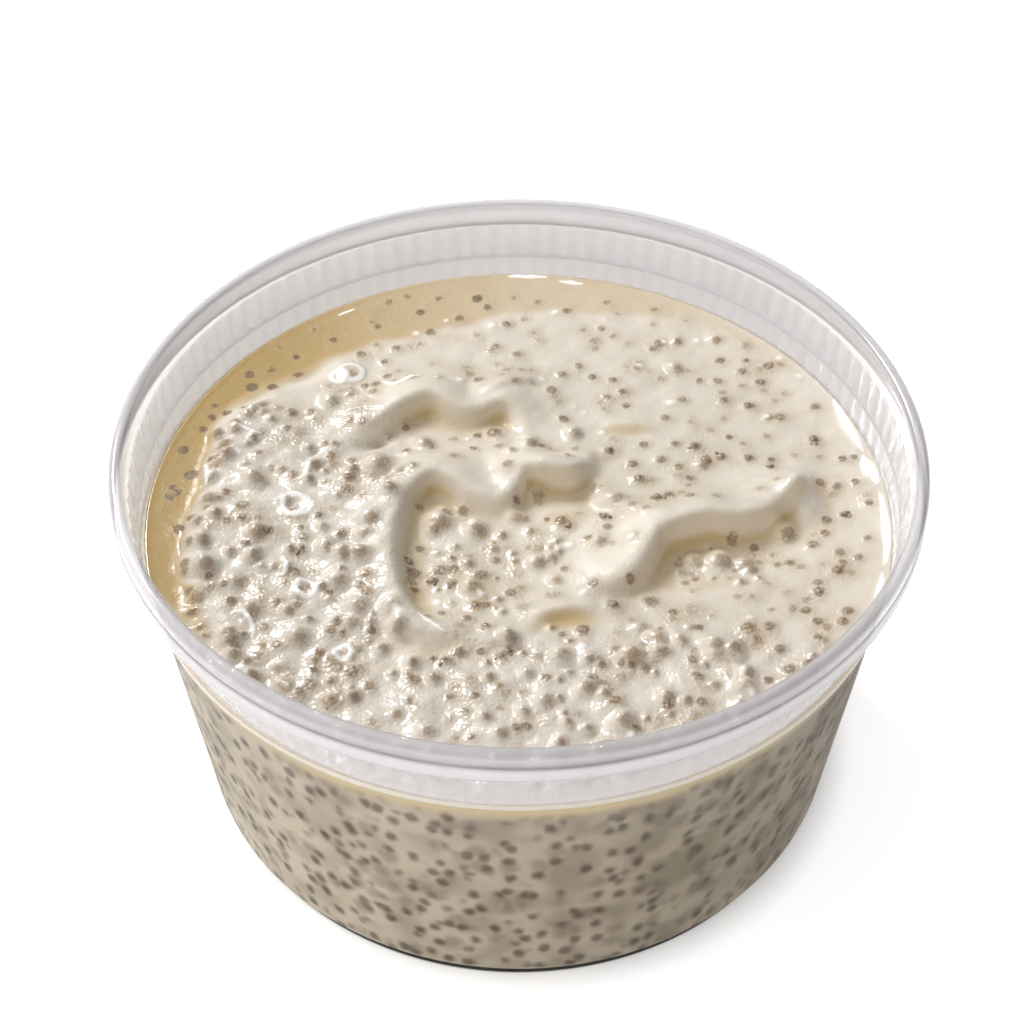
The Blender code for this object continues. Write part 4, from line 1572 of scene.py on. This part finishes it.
@dataclass
class Pudding:
    """The pudding: a fine top with everything that stands on it, a side and a rounded bottom."""

    cells: int = 276
    into_wall: float = 0.15
    side_rows: int = 6
    first_row: float = 0.004
    corner_steps: int = 6
    meniscus: float = 0.25
    meniscus_reach: float = 0.6
    waviness: float = 0.005
    wave_lengths: tuple = (9.0, 6.1, 4.3, 3.1, 2.2)
    drowned: float = 0.7
    ring_width: float = 0.5
    ring_rise: float = 0.25
    pit_depth: float = 0.3
    pit_share: float = 0.62
    puff_rise: float = 0.4
    # How much painted white highlight each raised spot gets
    spot_highlight: float = 0.75
    stroke_rise: float = 0.8
    stroke_ends: float = 0.3
    grain_reach: float = 3.2
    dome_fall: float = 0.8
    # The way the dark part of a coated grain is moved: to the front right, away from the light, partly as
    # painted shade
    shaded_side: tuple = (0.55, -0.85)
    bare_edge: tuple = (0.3, 1.15)
    left_mass: tuple = (12, 22)
    back_edge: tuple = (-24, -16)
    front_mass: tuple = (20, 28)
    # Painted shade, in tan: how much the hollows and the fronts of the folds get, and how much the tan
    # patches add
    dip_shade: float = 0.55
    slope_shade: float = 0.36
    patch_tan: float = 0.7
    seed: int = 5
    view: Viewpoint = Viewpoint()

    def disc(self) -> np.ndarray:
        """Maps a square grid evenly onto a disc of radius 1, as rows of (x, y)."""
        axis = np.linspace(-1, 1, self.cells + 1)
        a, b = np.meshgrid(axis, axis)
        wide = np.abs(a) > np.abs(b)
        radius = np.where(wide, a, b)
        ratio = np.where(wide, b, a) / np.where(radius == 0, 1, radius)
        angle = np.where(wide, ratio * math.pi / 4, math.pi / 2 - ratio * math.pi / 4)
        return np.column_stack([(radius * np.cos(angle)).ravel(), (radius * np.sin(angle)).ravel()])

    def wall_reach(self, height: np.ndarray) -> np.ndarray:
        """How far out the pudding goes at each height, just into the wall."""
        return BASE_RADIUS + TAPER * height - WALL + self.into_wall

    def ripple(self, spots: np.ndarray) -> np.ndarray:
        """A low random waviness from a few seeded waves.

        Args:
            spots: The spots, as rows of (x, y).

        Returns:
            The waviness at each spot, in millimetres.
        """
        draw = np.random.default_rng(self.seed)
        total = np.zeros(len(spots))
        for length in self.wave_lengths:
            for _ in range(3):
                way = draw.uniform(0, 2 * math.pi)
                phase = draw.uniform(0, 2 * math.pi)
                along = spots @ np.array([math.cos(way), math.sin(way)])
                across = spots @ np.array([-math.sin(way), math.cos(way)])
                bend = np.sin(across / (length * 1.3) + phase * 3) * 1.2
                total += np.sin(2 * math.pi * along / length + phase + bend) * length
        return total * self.waviness

    def covered(self, spots: np.ndarray, places: dict[str, np.ndarray]) -> dict[str, np.ndarray]:
        """Raises the grains, and tells where they show through the cream.

        Args:
            spots: The spots, as rows of (x, y).
            places: The grains by kind.

        Returns:
            The lift, the share of grain that shows and the haze round it, at each spot.
        """
        lift, shown, haze = (np.zeros(len(spots)) for _ in range(3))
        draw = np.random.default_rng(self.seed)
        for kind, look in COVERS.items():
            for x, y, radius in places[kind]:
                radius = radius * look.grown + look.more
                near = np.hypot(spots[:, 0] - x, spots[:, 1] - y) < self.grain_reach * radius
                offset = spots[near] - (x, y)
                stretch = draw.uniform(0.85, 1.18)
                turn = draw.uniform(0, math.pi)
                u = offset[:, 0] * math.cos(turn) + offset[:, 1] * math.sin(turn)
                v = offset[:, 1] * math.cos(turn) - offset[:, 0] * math.sin(turn)
                away = np.hypot(u * stretch, v / stretch) / radius
                dome = look.rise * radius * np.exp(-(away ** 3) * self.dome_fall) * draw.uniform(0.7, 1.2)
                lift[near] = np.maximum(lift[near], dome)
                # Painted shade: the dark part of a grain is moved to the front right, away from the light,
                # and partly where the coat runs thin
                slip = look.slip * radius * draw.uniform(0.6, 1.1)
                bare = np.hypot(*(offset - np.array(self.shaded_side) * slip).T) / radius
                bare = 0.5 * (away + bare) if look.slip < 0.3 else bare
                mark = look.core * draw.uniform(0.8, 1.1) * (1 - ease(bare, *self.bare_edge))
                shown[near] = np.maximum(shown[near], mark)
                soft = look.haze * draw.uniform(0.6, 1.1) * np.exp(-((bare / look.spread) ** 2))
                haze[near] = 1 - (1 - haze[near]) * (1 - np.clip(soft, 0, 0.9))
        return {"lift": lift, "grain": shown, "haze": haze}

    def from_mark(self, spots: np.ndarray, mark: tuple) -> np.ndarray:
        """How far each spot lies from a mark of (across, down, radius), in shares of its radius."""
        across, down, radius = mark
        x, y = self.view.spot(across, down)
        return np.hypot(spots[:, 0] - x, spots[:, 1] - y) / radius

    def raised(self, spots: np.ndarray, places: dict[str, np.ndarray]) -> dict[str, np.ndarray]:
        """Raises grains, bubbles, small spots and strokes, some of them along the wet edge, and paints white
        highlights on the bubbles' rims, the spots and the strokes.

        Args:
            spots: The spots, as rows of (x, y).
            places: The grains by kind.

        Returns:
            The extra height, and the shares of grain, haze and painted highlight, at each spot.
        """
        top = self.covered(spots, places)
        lift = top["lift"]
        # The share of painted white highlight, on the bubbles' rims, the raised spots and the strokes
        painted_highlight = np.zeros(len(spots))
        for x, y, radius in BUBBLES:
            away = np.hypot(spots[:, 0] - x, spots[:, 1] - y)
            ring = np.exp(-(((away - radius) / self.ring_width) ** 2))
            pit = np.exp(-((away / (self.pit_share * radius)) ** 4))
            lift += self.ring_rise * ring - self.pit_depth * pit
            painted_highlight = np.maximum(painted_highlight, ring)
        for mark in HIGHLIGHT_SPOTS:
            puff = np.exp(-(self.from_mark(spots, mark) ** 2))
            lift += self.puff_rise * mark[2] * puff
            painted_highlight = np.maximum(painted_highlight, self.spot_highlight * puff)
        for width, *pixels in HIGHLIGHT_STROKES:
            line = smooth_line(tuple(self.view.spot(*pixel) for pixel in pixels), 0.25)
            near = np.abs(spots - line.mean(0)).max(1) < 9
            swell = np.sin(np.linspace(0, math.pi, len(line)))
            widths = width * (self.stroke_ends + (1 - self.stroke_ends) * swell)
            away = np.min([np.hypot(*(spots[near] - p).T) / w for p, w in zip(line, widths)], axis=0)
            crest = np.exp(-(away ** 4))
            lift[near] += self.stroke_rise * width * crest
            painted_highlight[near] = np.maximum(painted_highlight[near], crest)
        return {**top, "grain": top["grain"] * (1 - 0.9 * painted_highlight), "painted_highlight": painted_highlight}

    def tan_and_painted_shade(self, relief: Relief, spots: np.ndarray) -> np.ndarray:
        """Tells where the cream is tan: thin cream in the pool, painted shade in hollows and on the steep
        fronts of the folds that face away from the light, and tan patches that are partly thin cream and
        partly painted shade.

        Args:
            relief: The folds and hollows.
            spots: The spots, as rows of (x, y).

        Returns:
            The shares, from 0 to 1.
        """
        # Painted shade in tan: in hollows, and on the fronts of the folds that face the front and the right,
        # away from the light
        broad = relief.softened(relief.lift, 2.6, 14)
        dip = relief.read(broad - relief.lift, spots)
        rise_y, rise_x = np.gradient(relief.lift, MAP_STEP)
        front = relief.read(rise_y, spots) * 0.9 - relief.read(rise_x, spots) * 0.35
        slope = ease(front, 0.3, 1.3) * self.slope_shade
        patches = np.zeros(len(spots))
        for across, down, length, width, strength in TAN_PATCHES:
            x, y = self.view.spot(across, down)
            away = np.hypot((spots[:, 0] - x) / length, (spots[:, 1] - y) / width)
            patches = np.maximum(patches, strength * np.exp(-(away ** 4) * 0.7))
        deep = ease(dip, 0.1, 1.0) * self.dip_shade
        return np.clip(pool_share(spots) + deep + slope + patches * self.patch_tan, 0, 1)

    def dull_share(self, spots: np.ndarray) -> np.ndarray:
        """Tells where the cream has no wet shine: along the edge of the thinner cream and at some places.

        Args:
            spots: The spots, as rows of (x, y).

        Returns:
            The shares, from 0 to 1.
        """
        share = 0.95 * pool_share(spots, 2.6) * (1 - pool_share(spots, -1.0))
        for mark in DULL:
            share = np.maximum(share, 0.85 * np.exp(-(self.from_mark(spots, mark) ** 4)))
        return share

    def top(
        self, relief: Relief, places: dict[str, np.ndarray]
    ) -> tuple[np.ndarray, np.ndarray, dict[str, np.ndarray]]:
        """Works out the top of the pudding.

        Args:
            relief: The folds and hollows.
            places: The grains by kind.

        Returns:
            Its points, the way outwards at each of them, and what each carries by name.
        """
        disc = self.disc()
        far = np.hypot(disc[:, 0], disc[:, 1])
        way = disc / np.where(far == 0, 1, far)[:, None]
        edge = self.wall_reach(LEVEL + TILT * way[:, 1] * BASE_RADIUS + self.meniscus)
        spots = way * (far * edge)[:, None]
        carried = self.raised(spots, places)
        to_wall = edge - np.hypot(spots[:, 0], spots[:, 1])
        pool = pool_share(spots)
        calm = ease(to_wall, 0.4, 3) * (1 - 0.85 * pool)
        left = ease(-spots[:, 0], *self.left_mass) * ease(-spots[:, 1], *self.back_edge)
        lumpy = np.maximum(left, ease(-spots[:, 1], *self.front_mass))
        rough = self.ripple(spots) * (0.7 + 1.6 * lumpy)
        height = relief.height(spots) + (carried.pop("lift") * (0.85 + 0.35 * lumpy) + rough) * calm
        height -= np.maximum(relief.read(relief.lift, spots), 0) * self.drowned * pool_share(spots, 1.8)
        height += self.meniscus * np.exp(-to_wall / self.meniscus_reach)
        carried["tan"] = self.tan_and_painted_shade(relief, spots)
        carried["mass"] = lumpy * (1 - pool)
        carried["dull"] = self.dull_share(spots)
        return np.column_stack([spots, height]), way, carried

    def mesh(self, relief: Relief, places: dict[str, np.ndarray]) -> bpy.types.Mesh:
        """Makes the closed mesh: the top, rings down the side and round the corner, and a flat bottom.

        Args:
            relief: The folds and hollows.
            places: The grains by kind.

        Returns:
            The mesh, whose side and bottom have the second material.
        """
        top, way, carried = self.top(relief, places)
        size = self.cells + 1
        index = np.arange(size * size).reshape(size, size)
        quads = np.stack([index[:-1, :-1], index[:-1, 1:], index[1:, 1:], index[1:, :-1]], -1).reshape(-1, 4)
        rim = np.concatenate([index[0, :-1], index[:-1, -1], index[-1, :0:-1], index[:0:-1, 0]])
        high = top[rim, 2]
        corner = base_corner(WALL - self.into_wall, self.corner_steps)[::-1]
        shares = [self.first_row, *np.linspace(0, 1, self.side_rows + 1)[1:-1]]
        levels = [high + (corner[0][1] - high) * share for share in shares]
        rings = [(self.wall_reach(level), level) for level in levels]
        rings += [(np.full(len(rim), radius), np.full(len(rim), level)) for radius, level in corner]
        points = [top]
        faces = quads.tolist()
        above = rim.tolist()
        for reach, level in rings:
            start = sum(len(block) for block in points)
            below = list(range(start, start + len(rim)))
            points.append(np.column_stack([way[rim] * reach[:, None], level]))
            faces += zip(above, below, below[1:] + below[:1], above[1:] + above[:1])
            above = below
        faces.append(above[::-1])
        mesh = bpy.data.meshes.new("pudding_cream")
        mesh.from_pydata((np.vstack(points) * MM).tolist(), [], faces)
        for name, values in carried.items():
            store(mesh, name, values)
        mesh.polygons.foreach_set("material_index", [int(i >= len(quads)) for i in range(len(faces))])
        mesh.shade_smooth()
        return mesh

    def build(self, relief: Relief, places: dict[str, np.ndarray]) -> bpy.types.Object:
        """Builds and dresses the pudding.

        Args:
            relief: The folds and hollows.
            places: The grains by kind.

        Returns:
            The pudding's object.
        """
        mesh = self.mesh(relief, places)
        mesh.materials.append(CreamFinish().build())
        mesh.materials.append(SideFinish().build())
        pudding = new_object("pudding_cream", mesh)
        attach(pudding, "root")
        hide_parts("pudding")
        return pudding


@dataclass
class BareGrains:
    """Bare millet that stands out of the cream, with crumbs beside it."""

    crumbs: int = 2
    seed: int = 7
    roughness: float = 0.2
    lump_size: float = 0.75
    sunk: float = 0.2
    raised: float = 0.12
    flatness: tuple = (0.86, 0.8)

    def points(self, relief: Relief, places: dict[str, np.ndarray]) -> bpy.types.Mesh:
        """Makes one loose point for each grain and crumb, with its size and turn.

        Args:
            relief: The folds and hollows, on which the grains lie.
            places: The grains by kind.

        Returns:
            The points as a mesh.
        """
        draw = random.Random(self.seed)
        rows = []
        for x, y, radius in places["bare"]:
            rows.append((x, y, radius * 0.95, -self.sunk * radius))
            for _ in range(self.crumbs):
                way = draw.uniform(0, 2 * math.pi)
                size = radius * draw.uniform(0.28, 0.5)
                away = radius * draw.uniform(0.8, 1.25)
                rows.append((x + away * math.cos(way), y + away * math.sin(way), size, -0.1 * size))
        rows = np.array(rows)
        height = relief.height(rows[:, :2]) + rows[:, 3] + self.raised
        mesh = bpy.data.meshes.new("grain_points")
        mesh.from_pydata((np.column_stack([rows[:, :2], height]) * MM).tolist(), [], [])
        store(mesh, "size", rows[:, 2] * MM)
        store(mesh, "turn", [draw.uniform(0, 6.2) for _ in range(3 * len(rows))], "FLOAT_VECTOR")
        return mesh

    def tree(self, finish: bpy.types.Material) -> tuple[bpy.types.NodeTree, dict[str, float]]:
        """Makes the tree that puts a rough grain on each point.

        Args:
            finish: The material that the tree sets at its end.

        Returns:
            The tree, and the value of each of its inputs by identifier.
        """
        settings = {"Roughness": 2 * self.roughness * MM, "Lump Size": self.lump_size * MM}
        sheet, names, (points, rough, lump) = start_tree("bare grains", tuple(settings))
        size = sheet.stored("size")
        ball = sheet.node("GeometryNodeMeshIcoSphere", None, {"Radius": 1.0, "Subdivisions": 2})
        way = sheet.node("FunctionNodeEulerToRotation", None, {0: sheet.stored("turn", "FLOAT_VECTOR")})
        wide, high = self.flatness
        shape = sheet.node("ShaderNodeCombineXYZ", None, {"X": size, "Y": size * wide, "Z": size * high})
        laid = sheet.node(
            "GeometryNodeInstanceOnPoints", None,
            {"Points": points, "Instance": ball, "Rotation": way, "Scale": shape})
        real = sheet.node("GeometryNodeRealizeInstances", None, {"Geometry": laid})
        place = sheet.node("GeometryNodeInputPosition")
        knobs = sheet.node(
            "ShaderNodeTexNoise", {"noise_dimensions": "3D"},
            {"Vector": place, "Scale": 1 / lump, "Detail": 2.0}, "Fac")
        moved = sheet.moved(real, sheet.node("GeometryNodeInputNormal"), (knobs - 0.5) * rough)
        sheet.end(sheet.node("GeometryNodeSetShadeSmooth", None, {"Geometry": moved}), finish)
        return sheet.tree, {names[name]: value for name, value in settings.items()}

    def build(self, relief: Relief, places: dict[str, np.ndarray]) -> bpy.types.Object:
        """Builds and dresses the grains.

        Args:
            relief: The folds and hollows.
            places: The grains by kind.

        Returns:
            The grains' object.
        """
        blank = new_object("grain_blank", self.points(relief, places))
        mesh = grown(blank, *self.tree(GrainFinish().build()), "millet_grains")
        grains = new_object("millet_grains", mesh)
        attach(grains, "root")
        return grains


@dataclass
class Studio:
    """The floor, the soft lights and the camera."""

    view: Viewpoint = Viewpoint()
    floor_size: float = 12.0
    sky: float = 0.74
    sky_shade: float = 0.2
    sky_fall: tuple = (-0.75, 0.7)
    key_place: tuple = (-0.30, 0.38, 0.46)
    key_size: float = 0.24
    key_power: float = 2.85
    glint_size: float = 0.07
    glint_power: float = 4.6
    fill_place: tuple = (-0.06, -0.55, 0.34)
    fill_size: float = 0.3
    fill_power: float = 0.9

    def build_floor(self) -> None:
        """Lays the floor."""
        half = self.floor_size / 2
        mesh = bpy.data.meshes.new("floor")
        corners = [(-half, -half, 0), (half, -half, 0), (half, half, 0), (-half, half, 0)]
        mesh.from_pydata(corners, [], [(0, 1, 2, 3)])
        mesh.materials.append(FloorFinish().build())
        floor = new_object("floor", mesh)

    def build_light(self, name: str, place: tuple, size: float, power: float) -> bpy.types.Object:
        """Hangs one soft light that looks at the tub.

        Args:
            name: Its name.
            place: Where it hangs, in metres.
            size: The side of its square, in metres.
            power: Its power, in watts.

        Returns:
            The light.
        """
        lamp = bpy.data.lights.new(name, "AREA")
        lamp.size = size
        lamp.energy = power
        light = bpy.data.objects.new(name, lamp)
        light.location = place
        light.rotation_euler = (Vector((0, 0, 0.04)) - Vector(place)).to_track_quat("-Z", "Y").to_euler()
        bpy.context.scene.collection.objects.link(light)
        return light

    def build_sky(self) -> None:
        """Fills the room with white light that gets weaker towards +X, and shows the camera plain white."""
        world = bpy.data.worlds.new("room")
        bpy.context.scene.world = world
        world.use_nodes = True
        back = world.node_tree.nodes["Background"]
        sheet = Sheet(world.node_tree)
        seen = sheet.node("ShaderNodeLightPath", output="Is Camera Ray")
        world.node_tree.links.new((self.sky + (1 - self.sky) * seen).socket, back.inputs["Strength"])
        way = sheet.node("ShaderNodeTexCoord", output="Generated")
        side = sheet.node("ShaderNodeSeparateXYZ", None, {"Vector": way}, "X")
        shaded = side.step(*self.sky_fall) * (1 - seen)
        dim = (self.sky_shade, self.sky_shade, self.sky_shade, 1.0)
        colour = sheet.blend(shaded, WHITE, dim)
        world.node_tree.links.new(colour.socket, back.inputs["Color"])

    def build_camera(self) -> None:
        """Sets the camera where the photo was taken from."""
        data = bpy.data.cameras.new("camera")
        data.lens = self.view.lens
        data.sensor_width = self.view.sensor
        data.clip_start = 0.01
        camera = bpy.data.objects.new("camera", data)
        right, up, forward = self.view.axes()
        turned = Matrix((right, up, -forward)).transposed().to_4x4()
        turned.translation = Vector(self.view.place)
        camera.matrix_world = turned
        bpy.context.scene.collection.objects.link(camera)
        bpy.context.scene.camera = camera

    def build(self) -> None:
        """Builds the whole set."""
        bpy.context.scene.view_settings.view_transform = "Standard"
        self.build_camera()
        self.build_sky()
        window = self.build_light("window", self.key_place, self.key_size, self.key_power)
        window.visible_glossy = False
        glint = self.build_light("glint", self.key_place, self.glint_size, self.glint_power)
        glint.visible_diffuse = False
        fill = self.build_light("fill", self.fill_place, self.fill_size, self.fill_power)
        fill.visible_glossy = False
        self.build_floor()


def main() -> None:
    """Builds the studio, the tub and the pudding."""
    logging.basicConfig(level=logging.INFO, format="%(message)s")
    Studio().build()
    log.info("studio")
    relief = Relief()
    places = Sprinkle().places(relief, Viewpoint())
    log.info("grains: %s", {kind: len(rows) for kind, rows in places.items()})
    pieces = (Pudding().build(relief, places), BareGrains().build(relief, places), Tub().build())
    for piece in pieces:
        piece.data.calc_loop_triangles()
        log.info("%s: %d triangles", piece.name, len(piece.data.loop_triangles))


if __name__ == "__main__":
    main()
